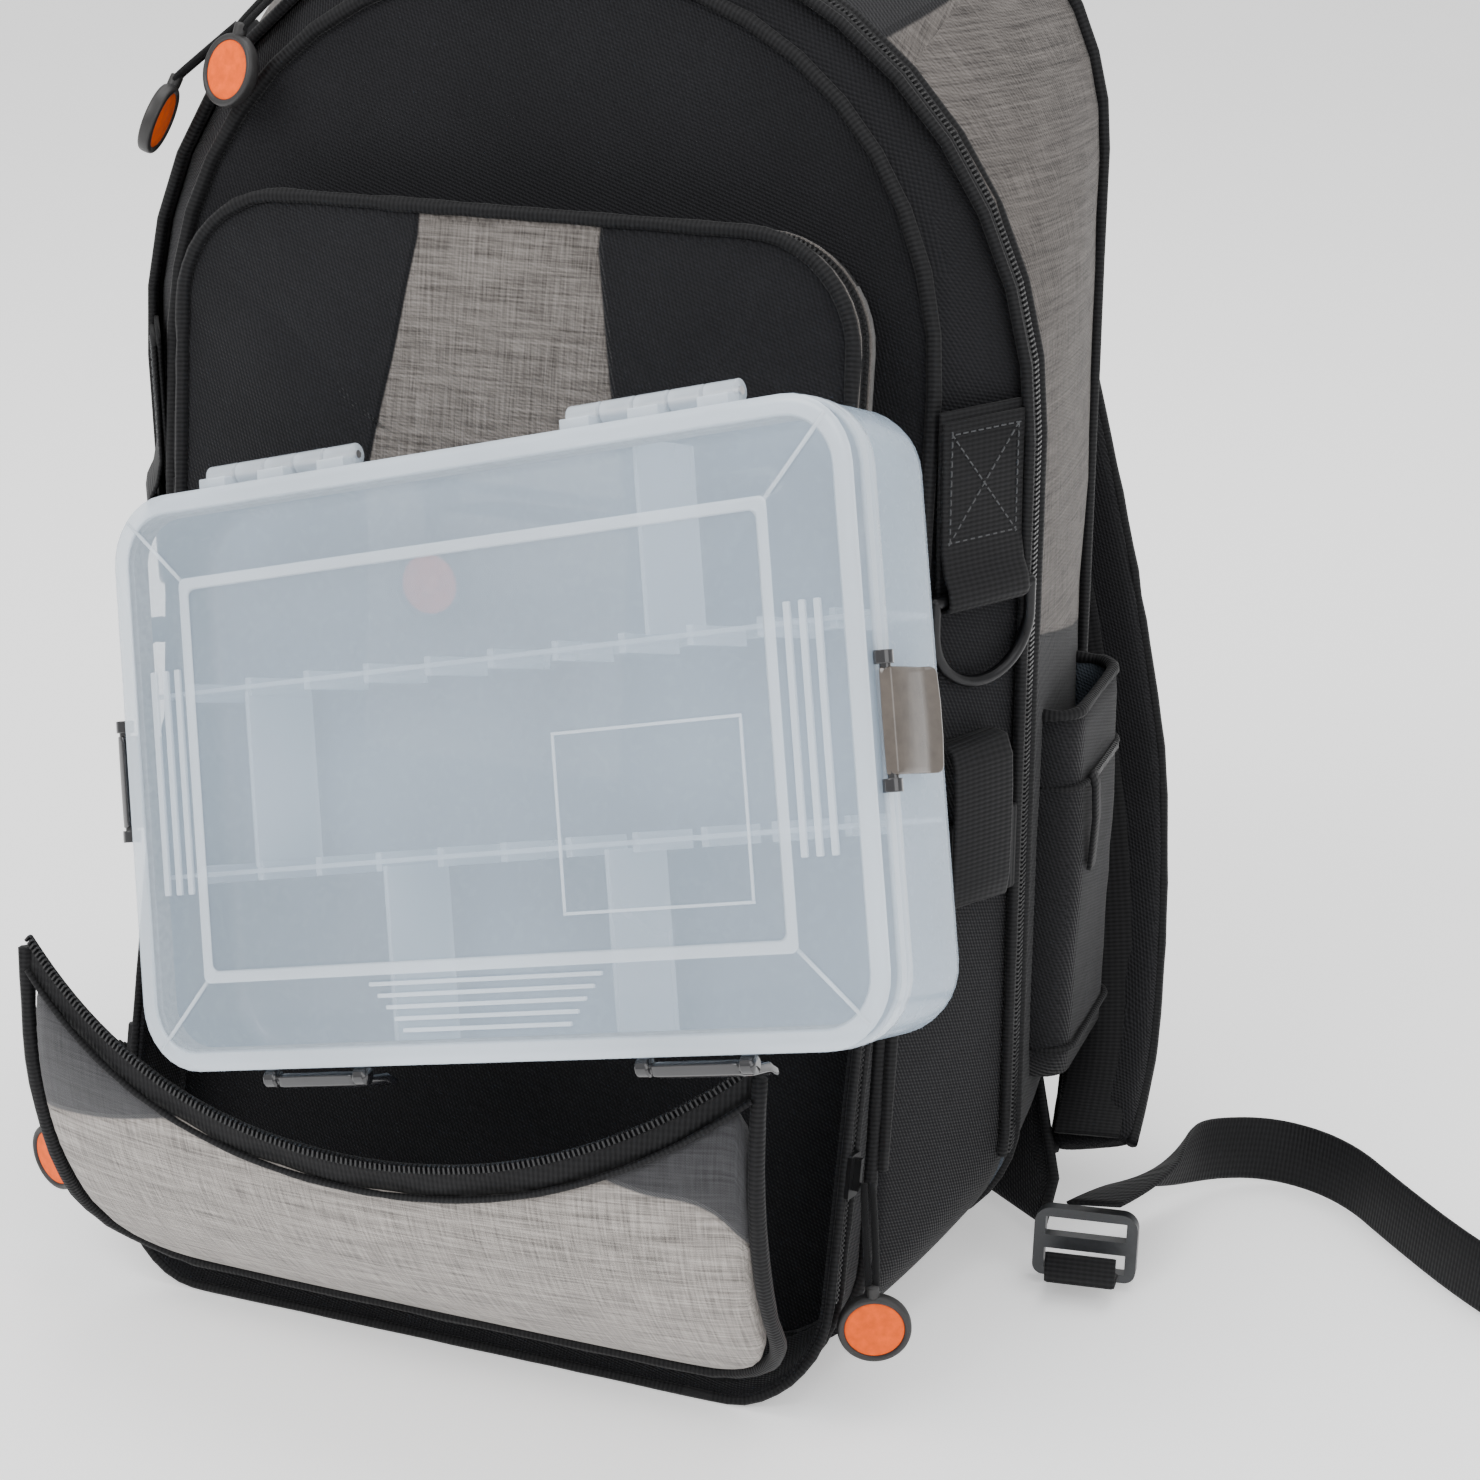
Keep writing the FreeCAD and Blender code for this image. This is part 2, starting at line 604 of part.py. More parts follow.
def knuckle(x, length):
    barrel = Part.makeCylinder(HINGE_R, length, Vector(x - length / 2, HINGE_Y, HINGE_Z), X)
    return barrel.cut(Part.makeCylinder(PIN_R + 0.35, length + 2, Vector(x - length / 2 - 1, HINGE_Y, HINGE_Z), X))


LATCHES = {"latch_left": (Vector(-BOX_W / 2, 0, 2), 90), "latch_right": (Vector(BOX_W / 2, 0, -2), -90),
           "latch_low_left": (Vector(-70, 0, -BOX_H / 2), 0), "latch_low_right": (Vector(70, 0, -BOX_H / 2), 0)}
LATCH_W = 40.0
LATCH_Y = 4.2               # the latch's pivot behind the face of the lid
LATCH_OUT = 3.4             # and outside the lid's edge


def latch_place(name):
    position, turn = LATCHES[name]
    return Placement(position, Rotation(Y, turn))


def latch(name):
    """Latch drawn below the box's lower edge: a barrel and a curved tongue that hugs the edge."""
    barrel = Part.makeCylinder(2.6, LATCH_W - 10, Vector(-(LATCH_W - 10) / 2, LATCH_Y, -LATCH_OUT), X)
    barrel = barrel.cut(Part.makeCylinder(1.4, LATCH_W, Vector(-LATCH_W / 2, LATCH_Y, -LATCH_OUT), X))
    tongue = block(-(LATCH_W - 10) / 2, (LATCH_W - 10) / 2, LATCH_Y + 1.9, 24, -LATCH_OUT - 2.6, -LATCH_OUT + 0.2)
    lip = block(-(LATCH_W - 10) / 2, (LATCH_W - 10) / 2, 22, 27, -LATCH_OUT - 4.8, -LATCH_OUT - 2.0)
    shape = barrel.fuse([tongue, lip]).removeSplitter()
    shape.Placement = latch_place(name)
    return shape


def latch_ears(name):
    ears = []
    for s in (-1, 1):
        x = s * (LATCH_W / 2 - 2.2)
        ear = Part.makeCylinder(2.6, 4.0, Vector(x - 2, LATCH_Y, -LATCH_OUT), X)
        foot = block(x - 2, x + 2, LATCH_Y - 2.2, LATCH_Y + 2.2, -LATCH_OUT, 1.0)
        ears.append(ear.fuse(foot))
    pin = Part.makeCylinder(1.0, LATCH_W - 4.4, Vector(-(LATCH_W - 4.4) / 2, LATCH_Y, -LATCH_OUT), X)
    shape = pin.fuse(ears)
    shape.Placement = latch_place(name)
    return shape


def box_lid():
    lid = box_prism(0, 0, BOX_LID).cut(box_prism(BOX_WALL, BOX_WALL, BOX_LID + 5))
    bead = ring(BOX_W / 2 - 33, -BOX_H / 2 + 29, BOX_H / 2 - 29, 8, 8, 2.0, -0.8, 0.6)
    extra = [bead]
    for middle in KNUCKLES:
        for step in (-24, 0, 24):
            x = middle + step
            extra.append(knuckle(x, KNUCKLE_L))
            extra.append(block(x - KNUCKLE_L / 2, x + KNUCKLE_L / 2, 4.0, 8.2, BOX_H / 2 - 1, HINGE_Z - 2.0))
    extra += [latch_ears(name) for name in LATCHES]
    return lid.fuse(extra).removeSplitter()


def box_tray():
    y0 = BOX_LID + 0.5
    tray = box_prism(1.0, y0, BOX_D).cut(box_prism(1.0 + BOX_WALL, y0 - 5, BOX_D - BOX_WALL))
    extra = []
    for middle in KNUCKLES:
        for step in (-12, 12):
            x = middle + step
            extra.append(knuckle(x, KNUCKLE_L))
            extra.append(block(x - KNUCKLE_L / 2, x + KNUCKLE_L / 2, HINGE_Y + 1.9, HINGE_Y + 5.5,
                               BOX_H / 2 - 2, HINGE_Z - 2.0))
    return tray.fuse(extra).removeSplitter()


def box_pins():
    return Part.makeCompound([Part.makeCylinder(PIN_R, 60, Vector(x - 30, HINGE_Y, HINGE_Z), X)
                              for x in KNUCKLES])


def box_seal():
    return ring(BOX_W / 2 - 4.6, -BOX_H / 2 + 4.6, BOX_H / 2 - 4.6, BOX_R - 4.6, BOX_R - 4.6, 2.6,
                BOX_WALL + 0.1, BOX_LID - 1.2)


LONG_PARTITIONS = (29.0, -30.0)
SHORT_PARTITIONS = ((-45.0, -1), (38.0, -1), (-96.0, 0), (58.0, 1))


def box_dividers():
    """Loose partitions: two long ones, and short ones across the bays below, between and above."""
    y0, y1 = BOX_LID + 3.0, BOX_D - BOX_WALL - 0.4
    inner_half = BOX_W / 2 - 1.0 - BOX_WALL - 0.4
    inner_tall = BOX_H / 2 - 1.0 - BOX_WALL - 0.4
    plates = [block(-inner_half, inner_half, y0, y1, z - 0.8, z + 0.8) for z in LONG_PARTITIONS]
    bays = {-1: (-inner_tall, LONG_PARTITIONS[1] - 1.2), 0: (LONG_PARTITIONS[1] + 1.2, LONG_PARTITIONS[0] - 1.2),
            1: (LONG_PARTITIONS[0] + 1.2, inner_tall)}
    for x, bay in SHORT_PARTITIONS:
        plates.append(block(x - 0.8, x + 0.8, y0, y1, *bays[bay]))
    return Part.makeCompound(plates)


def on_box(shape):
    out = shape.copy()
    out.Placement = BOX_POSE.multiply(out.Placement)
    return out


# ---- write every node ---------------------------------------------------------------------
def main():
    os.makedirs("parts", exist_ok=True)

    save("rear_shell", rear_section())
    save("frame_sheet", frame_sheet())
    save("main_zip_rear", main_zip(False))
    save("haul_handle", haul_handle())

    save("front_shell", front_section())
    save("front_piping", front_piping())
    save("main_zip_front", main_zip(True))
    save("upper_pocket_gusset", upper_gusset())
    save("lower_pocket_gusset", lower_gusset())

    save("upper_pocket_cover", upper_cover())
    save("upper_cover_piping", upper_piping())
    save("slip_pocket_zip", slip_zip())

    save("lower_flap", flap_panel())
    save("lower_flap_piping", flap_piping())
    save("lower_flap_zip", flap_zip())

    for side, sign in SIDES:
        save(f"back_pad_{side}", back_pad(sign))
        save(f"shoulder_strap_{side}", shoulder_strap(sign))
        save(f"strap_wing_{side}", strap_wing(sign))
        save(f"ladder_lock_{side}", ladder_lock(sign))
        save(f"side_pocket_{side}", mirrored(side_pocket(), sign))
        save(f"d_ring_webbing_{side}", mirrored(d_web(), sign))
        save(f"d_ring_{side}", mirrored(d_ring(), sign))
        save(f"side_loop_{side}", mirrored(side_loop(), sign))
        save(f"lower_slider_{side}", lower_slider(sign))
        eye = Vector(sign * LOWER_EYE.x, LOWER_EYE.y, LOWER_EYE.z)
        save(f"lower_puller_{side}", disc(*LOWER_DISCS[sign], eye))
        save(f"lower_pull_cord_{side}", pull_cord(*LOWER_DISCS[sign], eye))

    save("strap_tail", strap_tail())

    for name, angle, place in zip(("a", "b"), MAIN_ANGLES, MAIN_DISCS):
        save(f"main_slider_{name}", main_slider(angle))
        save(f"main_puller_{name}", disc(*place, main_eye(angle)))
        save(f"main_pull_cord_{name}", pull_cord(*place, main_eye(angle)))

    save("upper_slider_a", upper_slider(302))
    save("upper_slider_b", upper_slider(279))

    save("slip_slider", slip_slider())
    slip_place = (slip_eye() + Vector(0, -2.0, -SLIP_DISC_DROP), Vector(0, -1, 0.15))
    save("slip_puller", disc(*slip_place, slip_eye()))
    save("slip_pull_cord", pull_cord(*slip_place, slip_eye()))

    save("box_lid", on_box(box_lid()))
    save("box_tray", on_box(box_tray()))
    save("box_hinge_pins", on_box(box_pins()))
    save("box_seal", on_box(box_seal()))
    save("box_dividers", on_box(box_dividers()))
    for name in LATCHES:
        save(f"box_{name}", on_box(latch(name)))


if __name__ == "__main__":
    main()
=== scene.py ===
"""Looks of the tackle backpack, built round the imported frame."""
import math

import bpy
import bmesh
from mathutils import Matrix, Vector, noise


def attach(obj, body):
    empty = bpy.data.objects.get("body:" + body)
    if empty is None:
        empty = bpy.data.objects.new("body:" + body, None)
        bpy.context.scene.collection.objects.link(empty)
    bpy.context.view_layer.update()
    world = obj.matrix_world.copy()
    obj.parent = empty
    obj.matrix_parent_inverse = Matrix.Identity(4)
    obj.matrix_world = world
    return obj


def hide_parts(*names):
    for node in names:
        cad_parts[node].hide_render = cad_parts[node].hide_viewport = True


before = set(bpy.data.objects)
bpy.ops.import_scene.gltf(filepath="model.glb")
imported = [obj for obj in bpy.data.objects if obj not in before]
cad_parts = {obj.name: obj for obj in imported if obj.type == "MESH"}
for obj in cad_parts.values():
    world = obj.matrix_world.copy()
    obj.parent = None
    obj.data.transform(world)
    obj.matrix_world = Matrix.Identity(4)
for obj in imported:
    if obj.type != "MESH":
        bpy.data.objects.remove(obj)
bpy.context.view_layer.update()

# ---- dimensions of the CAD model, millimetres in the bag frame -----------------------------
ORIGIN = Vector((-18.0, -40.9, 0.0))
ZIP_Y, ZIP_HALF, ZIP_TOP, ZIP_R_TOP, ZIP_R_LOW = 64.0, 163.0, 471.0, 162.0, 55.0
FRONT_Y, FRONT_SLOPE, FRONT_HALF, FRONT_TOP, FRONT_R_TOP, FRONT_R_LOW = -16.0, 0.15, 137.0, 458.0, 126.0, 30.0
REAR_Y, REAR_HALF, REAR_TOP, REAR_R_TOP, REAR_R_LOW = 158.0, 158.0, 492.0, 105.0, 80.0
UPPER_HALF, UPPER_LOW, UPPER_TOP, UPPER_R, UPPER_DEPTH = 118.0, 198.0, 380.0, 36.0, 24.0
COVER_T = 4.0
LOWER_HALF, LOWER_TOP, LOWER_R_LOW, LOWER_R_TOP = 134.0, 186.0, 38.0, 28.0
RIM_Y, RIM_SLOPE = -58.0, 0.29
FLAP_HALF, FLAP_TOP, FLAP_SAG, FLAP_R_LOW = 128.0, 154.0, 45.5, 34.0
FLAP_PROFILE = ((-61.0, 16.0), (-102.0, 60.0), (-123.0, 108.0), (-123.0, 154.0))
FLAP_BACK = (0.0, 11.0, 20.0, 23.0)
LEAN = math.atan(FRONT_SLOPE)
BOX_W, BOX_H, BOX_R = 275.0, 185.0, 22.0
HINGE_Y, HINGE_Z, HINGE_R = 10.3, BOX_H / 2 + 4.2, 3.6
BOX_AT = Vector((39.0, -107.0, 244.0))
BOX_TURN = (Matrix.Rotation(math.radians(-12.2), 3, "Z") @ Matrix.Rotation(math.radians(-17.7), 3, "X")
            @ Matrix.Rotation(math.radians(-16.1), 3, "Y"))
SIDES = (("left", -1), ("right", 1))
IMAGE, FOCAL, SENSOR = 1480.0, 3000.0, 36.0
CAMERA_AT, CAMERA_TURN, CAMERA_DOWN = (412.5, -858.0, 574.0), 20.9, 21.3


def row(x, y=None, z=None):
    """Bag frame in millimetres to row frame in metres."""
    p = Vector(x) if y is None else Vector((x, y, z))
    return (p + ORIGIN) / 1000


def lean(p):
    y, z = p[1] - FRONT_Y, p[2]
    return Vector((p[0], FRONT_Y + y * math.cos(LEAN) + z * math.sin(LEAN),
                   -y * math.sin(LEAN) + z * math.cos(LEAN)))


def on_box(p):
    return BOX_TURN @ Vector(p) + BOX_AT


# ---- materials -----------------------------------------------------------------------------
class Mat:
    """A material under construction: call node() to add nodes and link sockets."""

    def __init__(self, name):
        self.mat = bpy.data.materials.new(name)
        self.mat.use_nodes = True
        self.tree = self.mat.node_tree
        self.tree.nodes.clear()
        self.out = self.tree.nodes.new("ShaderNodeOutputMaterial")
        self.bsdf = self.tree.nodes.new("ShaderNodeBsdfPrincipled")
        self.tree.links.new(self.bsdf.outputs[0], self.out.inputs[0])

    def node(self, kind, *values, **props):
        n = self.tree.nodes.new("ShaderNode" + kind)
        named = props.pop("inputs", {})
        for k, v in props.items():
            setattr(n, k, v)
        for key, v in list(enumerate(values)) + list(named.items()):
            self.set(n.inputs[key], v)
        return n.outputs[0]

    def set(self, socket, v):
        if isinstance(v, bpy.types.NodeSocket):
            self.tree.links.new(v, socket)
        elif v is not None:
            socket.default_value = v

    def math(self, op, a, b=None, c=None):
        return self.node("Math", a, b, c, operation=op)

    def uv(self):
        sep = self.tree.nodes.new("ShaderNodeSeparateXYZ")
        coords = self.tree.nodes.new("ShaderNodeTexCoord")
        self.tree.links.new(coords.outputs["UV"], sep.inputs[0])
        return sep.outputs[0], sep.outputs[1]

    def place(self):
        sep = self.tree.nodes.new("ShaderNodeSeparateXYZ")
        coords = self.tree.nodes.new("ShaderNodeTexCoord")
        self.tree.links.new(coords.outputs["Object"], sep.inputs[0])
        return sep.outputs[0], sep.outputs[1], sep.outputs[2]

    def noise(self, vector, scale, detail=3.0, rough=0.55):
        n = self.tree.nodes.new("ShaderNodeTexNoise")
        if vector is not None:
            self.tree.links.new(vector, n.inputs["Vector"])
        n.inputs["Scale"].default_value = scale
        n.inputs["Detail"].default_value = detail
        n.inputs["Roughness"].default_value = rough
        return n.outputs[0]

    def vector(self, x, y, z=0.0):
        return self.node("CombineXYZ", x, y, z)

    def mix(self, factor, a, b):
        n = self.tree.nodes.new("ShaderNodeMix")
        n.data_type = "RGBA"
        self.set(n.inputs[0], factor)
        for socket, v in ((n.inputs[6], a), (n.inputs[7], b)):
            self.set(socket, (*v, 1.0) if isinstance(v, tuple) and len(v) == 3 else v)
        return n.outputs[2]

    def ramp(self, value, low, high, out_low=0.0, out_high=1.0):
        return self.node("MapRange", value, low, high, out_low, out_high, clamp=True)

    def bump(self, height, strength, distance, after=None):
        n = self.tree.nodes.new("ShaderNodeBump")
        n.inputs["Strength"].default_value = strength
        n.inputs["Distance"].default_value = distance
        self.set(n.inputs["Height"], height)
        if after is not None:
            self.set(n.inputs["Normal"], after)
        return n.outputs[0]

    def finish(self, **sockets):
        for key, v in sockets.items():
            name = key.replace("_", " ")
            if isinstance(v, tuple) and len(v) == 3:
                v = (*v, 1.0)
            self.set(self.bsdf.inputs[name], v)
        return self.mat


def twill_height(m, pitch=0.0019):
    """Diagonal basket weave from the UV map, which is in metres."""
    u, v = m.uv()
    k = 2 * math.pi / pitch
    a = m.math("SINE", m.math("MULTIPLY", m.math("ADD", u, v), k))
    b = m.math("SINE", m.math("MULTIPLY", m.math("SUBTRACT", u, v), k * 0.5))
    return m.math("MULTIPLY_ADD", m.math("MULTIPLY", a, b), 0.5, 0.5)


def twill_parts(m, dark, light):
    height = twill_height(m)
    x, y, z = m.place()
    cloud = m.noise(m.vector(x, y, z), 14.0, 3.0)
    # Painted highlight grains: the fine noise lifts tiny specks toward the light tone. It is mixed with the weave
    # term, which is the cloth's own pattern.
    fine = m.noise(m.vector(x, y, z), 900.0, 2.0)
    weave_and_highlight_grains = m.math("MULTIPLY_ADD", height, 0.55, m.math("MULTIPLY", fine, 0.45))
    base = m.mix(weave_and_highlight_grains, dark, light)
    base = m.mix(m.ramp(cloud, 0.3, 0.7, 0.0, 0.35), base, tuple(c * 0.55 for c in dark))
    return base, height


def make_twill(name, dark=(0.0022, 0.0023, 0.0028), light=(0.020, 0.020, 0.023)):
    m = Mat(name)
    base, height = twill_parts(m, dark, light)
    return m.finish(Base_Color=base, Roughness=0.78, Sheen_Weight=0.08, Sheen_Roughness=0.45,
                    Normal=m.bump(height, 0.8, 0.0006), Specular_IOR_Level=0.12)


def melange_parts(m, dark, light):
    """Streaks of light and dark thread, both ways, over a plain weave."""
    u, v = m.uv()
    flat = m.noise(m.vector(m.math("MULTIPLY", u, 55.0), m.math("MULTIPLY", v, 1300.0)), 1.0, 3.0, 0.6)
    tall = m.noise(m.vector(m.math("MULTIPLY", u, 1300.0), m.math("MULTIPLY", v, 55.0), 5.0), 1.0, 3.0, 0.6)
    slub = m.noise(m.vector(m.math("MULTIPLY", u, 18.0), m.math("MULTIPLY", v, 420.0), 9.0), 1.0, 2.0, 0.5)
    streak = m.math("MULTIPLY_ADD", flat, 0.42, m.math("MULTIPLY", tall, 0.36))
    streak = m.math("MULTIPLY_ADD", slub, 0.22, streak)
    base = m.mix(m.ramp(streak, 0.37, 0.63), dark, light)
    k = 2 * math.pi / 0.0009
    weave = m.math("MULTIPLY", m.math("SINE", m.math("MULTIPLY", u, k)), m.math("SINE", m.math("MULTIPLY", v, k)))
    return base, m.math("MULTIPLY_ADD", weave, 0.25, streak)


def make_melange(name, dark, light):
    m = Mat(name)
    base, height = melange_parts(m, dark, light)
    return m.finish(Base_Color=base, Roughness=0.85, Sheen_Weight=0.2, Sheen_Roughness=0.5,
                    Normal=m.bump(height, 0.45, 0.0004), Specular_IOR_Level=0.25)


def make_webbing(name):
    """Ribbed webbing: fine ribs across the UV's length and a woven edge."""
    m = Mat(name)
    u, v = m.uv()
    rib = m.math("SINE", m.math("MULTIPLY", u, 2 * math.pi / 0.0016))
    warp = m.math("SINE", m.math("MULTIPLY", v, 2 * math.pi / 0.0024))
    height = m.math("MULTIPLY_ADD", rib, 0.35, m.math("MULTIPLY_ADD", warp, 0.15, 0.5))
    base = m.mix(height, (0.0015, 0.0015, 0.002), (0.011, 0.011, 0.012))
    return m.finish(Base_Color=base, Roughness=0.7, Sheen_Weight=0.04, Sheen_Roughness=0.4,
                    Normal=m.bump(height, 0.6, 0.0004), Specular_IOR_Level=0.2)


def make_plain(name, color, rough, scale=500.0, strength=0.15, **more):
    m = Mat(name)
    x, y, z = m.place()
    grain = m.noise(m.vector(x, y, z), scale, 3.0)
    base = m.mix(m.ramp(grain, 0.3, 0.7), tuple(c * 0.82 for c in color), tuple(min(1.0, c * 1.15) for c in color))
    return m.finish(Base_Color=base, Roughness=m.ramp(grain, 0.2, 0.8, rough * 0.85, min(1.0, rough * 1.15)),
                    Normal=m.bump(grain, strength, 0.0002), **more)


def make_clear(name, tint, alpha, rough):
    """Frosted polypropylene: milky, glossy on its face, with faint flow marks."""
    m = Mat(name)
    x, y, z = m.place()
    flow = m.noise(m.vector(x, y, z), 9.0, 2.0)
    grain = m.noise(m.vector(x, y, z), 260.0, 2.0)
    base = m.mix(m.ramp(flow, 0.3, 0.7), tint, tuple(min(1.0, c * 1.12) for c in tint))
    return m.finish(Base_Color=base, Roughness=m.ramp(grain, 0.3, 0.7, rough * 0.8, rough * 1.3),
                    Alpha=m.ramp(flow, 0.3, 0.7, alpha * 0.93, min(1.0, alpha * 1.07)),
                    Specular_IOR_Level=0.6, Coat_Weight=0.35, Coat_Roughness=0.08,
                    Normal=m.bump(flow, 0.08, 0.002))


def make_flap_cloth():
    """The flap's outer cloth: pale melange with a curved dark panel in each upper corner."""
    m = Mat("flap_cloth")
    light, height = melange_parts(m, (0.09, 0.081, 0.074), (0.42, 0.385, 0.355))
    dark = melange_parts(m, (0.018, 0.018, 0.020), (0.052, 0.052, 0.056))[0]
    x, _, z = m.place()
    seam = m.tree.nodes.new("ShaderNodeFloatCurve")
    points = ((0.0, 0.92), (0.10, 0.96), (0.20, 1.03), (0.30, 1.13), (0.335, 1.22), (0.36, 1.60), (0.70, 1.60),
              (0.745, 1.34), (0.79, 1.18), (0.86, 1.10), (0.93, 1.06), (0.97, 0.95), (1.0, 0.78))
    curve = seam.mapping.curves[0]
    for i, (px, pz) in enumerate(points):
        if i < 2:
            curve.points[i].location = (px, pz / 2)
        else:
            curve.points.new(px, pz / 2)
    seam.mapping.update()
    share = m.ramp(x, row(-132, 0, 0).x, row(132, 0, 0).x)
    m.set(seam.inputs["Value"], share)
    limit = m.math("MULTIPLY", seam.outputs[0], 0.2)
    above = m.math("SUBTRACT", z, limit)
    mask = m.ramp(above, -0.0004, 0.0004)
    base = m.mix(mask, light, dark)
    groove = m.ramp(m.math("ABSOLUTE", above), 0.0, 0.0018)
    normal = m.bump(groove, 0.8, 0.0012, m.bump(height, 0.45, 0.0004))
    return m.finish(Base_Color=base, Roughness=0.85, Sheen_Weight=0.2, Sheen_Roughness=0.5, Normal=normal,
                    Specular_IOR_Level=0.25)


def make_cover_cloth():
    """The upper cover's cloth: black twill with a melange wedge that widens downward."""
    m = Mat("cover_cloth")
    grey, height = melange_parts(m, (0.048, 0.042, 0.038), (0.235, 0.213, 0.197))
    black, twill = twill_parts(m, (0.0022, 0.0023, 0.0028), (0.020, 0.020, 0.023))
    x, _, z = m.place()
    middle = row(0, 0, 0).x
    half = m.ramp(z, 0.290, 0.372, 0.047, 0.032)
    above = m.math("SUBTRACT", m.math("ABSOLUTE", m.math("SUBTRACT", x, middle)), half)
    mask = m.ramp(above, -0.0004, 0.0004)
    groove = m.ramp(m.math("ABSOLUTE", above), 0.0, 0.0018)
    normal = m.bump(groove, 0.8, 0.0012, m.bump(twill, 0.7, 0.0005, m.bump(height, 0.3, 0.0003)))
    return m.finish(Base_Color=m.mix(mask, grey, black), Roughness=0.8, Sheen_Weight=0.08, Sheen_Roughness=0.5,
                    Normal=normal, Specular_IOR_Level=0.12)


def make_side_cloth():
    """The rear section's cloth: black twill with a melange panel on each flank."""
    m = Mat("side_cloth")
    grey, height = melange_parts(m, (0.030, 0.026, 0.024), (0.145, 0.130, 0.120))
    black, twill = twill_parts(m, (0.0022, 0.0023, 0.0028), (0.020, 0.020, 0.023))
    x, y, z = m.place()
    side = m.math("SUBTRACT", m.math("ABSOLUTE", m.math("SUBTRACT", x, row(0, 0, 0).x)), 0.100)
    low = m.math("SUBTRACT", z, m.math("MULTIPLY_ADD", y, -0.25, 0.246))
    high = m.math("SUBTRACT", m.math("MULTIPLY_ADD", y, 0.30, 0.425), z)
    inside = m.math("MINIMUM", side, m.math("MINIMUM", low, high))
    mask = m.ramp(inside, -0.0004, 0.0004)
    groove = m.ramp(m.math("ABSOLUTE", inside), 0.0, 0.0020)
    normal = m.bump(groove, 0.8, 0.0012, m.bump(twill, 0.7, 0.0005, m.bump(height, 0.3, 0.0003)))
    return m.finish(Base_Color=m.mix(mask, black, grey), Roughness=0.8, Sheen_Weight=0.08, Sheen_Roughness=0.5,
                    Normal=normal, Specular_IOR_Level=0.25)


TWILL = make_twill("twill_black")
MELANGE = make_melange("melange_side", (0.030, 0.026, 0.024), (0.145, 0.130, 0.120))
SIDE_CLOTH = make_side_cloth()
LINING = make_twill("lining_blue", (0.045, 0.055, 0.070), (0.10, 0.12, 0.145))
MESH = make_twill("mesh_black", (0.0015, 0.0015, 0.0018), (0.026, 0.026, 0.029))
WEBBING = make_webbing("webbing_black")
PIPING = make_webbing("piping_black")
TAPE = make_webbing("zip_tape")
TEETH = make_plain("zip_teeth", (0.010, 0.010, 0.011), 0.38)
METAL = make_plain("lacquered_metal", (0.010, 0.010, 0.011), 0.3, Metallic=0.6)
BUCKLE = make_plain("acetal_grey", (0.032, 0.034, 0.037), 0.42)
ORANGE = make_plain("soft_orange", (0.92, 0.11, 0.004), 0.6, 300.0, 0.08, Specular_IOR_Level=0.2)
RIM_BLACK = make_plain("rim_black", (0.015, 0.014, 0.014), 0.5)
CORD = make_webbing("cord_braid")
CLEAR_LID = make_clear("clear_lid", (0.58, 0.69, 0.80), 0.24, 0.14)
CLEAR_TRAY = make_clear("clear_tray", (0.50, 0.61, 0.73), 0.50, 0.24)
CLEAR_EDGE = make_clear("clear_edge", (0.74, 0.81, 0.88), 0.46, 0.16)
CLEAR_PLATE = make_clear("clear_plate", (0.66, 0.75, 0.84), 0.34, 0.2)
LATCH = make_plain("latch_black", (0.012, 0.012, 0.014), 0.16, 200.0, 0.03, Coat_Weight=0.5)
SMOKE = make_plain("latch_smoke", (0.085, 0.070, 0.058), 0.16, 200.0, 0.03, Coat_Weight=0.5)
STEEL = make_plain("pin_steel", (0.55, 0.55, 0.56), 0.3, Metallic=1.0)
SEAL = make_plain("seal_grey", (0.30, 0.33, 0.36), 0.6)
BOARD = make_plain("board", (0.02, 0.02, 0.02), 0.6)
FLAP_CLOTH = make_flap_cloth()
COVER_CLOTH = make_cover_cloth()


# ---- mesh helpers --------------------------------------------------------------------------
def new_mesh(name, verts, faces, mats, uvs=None, smooth=True, indices=None):
    mesh = bpy.data.meshes.new(name)
    mesh.from_pydata([tuple(v) for v in verts], [], faces)
    obj = bpy.data.objects.new(name, mesh)
    bpy.context.scene.collection.objects.link(obj)
    for m in mats if isinstance(mats, (list, tuple)) else [mats]:
        mesh.materials.append(m)
    if indices is not None:
        mesh.polygons.foreach_set("material_index", indices)
    if smooth:
        mesh.polygons.foreach_set("use_smooth", [True] * len(mesh.polygons))
    layer = mesh.uv_layers.new(name="UVMap")
    if uvs is not None:
        for loop in mesh.loops:
            layer.data[loop.index].uv = uvs[loop.vertex_index]
    else:
        box_uv(obj)
    mesh.validate()
    return obj


def box_uv(obj):
    """UV map in metres, projected along each face's main direction."""
    mesh = obj.data
    layer = mesh.uv_layers.get("UVMap") or mesh.uv_layers.new(name="UVMap")
    for poly in mesh.polygons:
        n = [abs(c) for c in poly.normal]
        a, b = ((1, 2), (0, 2), (0, 1))[n.index(max(n))]
        for li in poly.loop_indices:
            co = mesh.vertices[mesh.loops[li].vertex_index].co
            layer.data[li].uv = (co[a], co[b])


def grid(name, rows, mats, close=False, caps=(False, False), face_mat=None, uvs=None):
    """Quad surface over rows of points; close joins the last column to the first."""
    n = len(rows[0])
    verts = [p for r in rows for p in r]
    faces, indices = [], []
    for i in range(len(rows) - 1):
        for j in range(n if close else n - 1):
            k = (j + 1) % n
            quad = (i * n + j, i * n + k, (i + 1) * n + k, (i + 1) * n + j)
            faces.append(quad)
            centre = sum((verts[q] for q in quad), Vector()) / 4
            indices.append(face_mat(centre) if face_mat else 0)
    if caps[0]:
        faces.append(tuple(range(n))[::-1])
        indices.append(0)
    if caps[1]:
        faces.append(tuple(range((len(rows) - 1) * n, len(rows) * n)))
        indices.append(0)
    return new_mesh(name, verts, faces, mats, uvs, indices=indices)


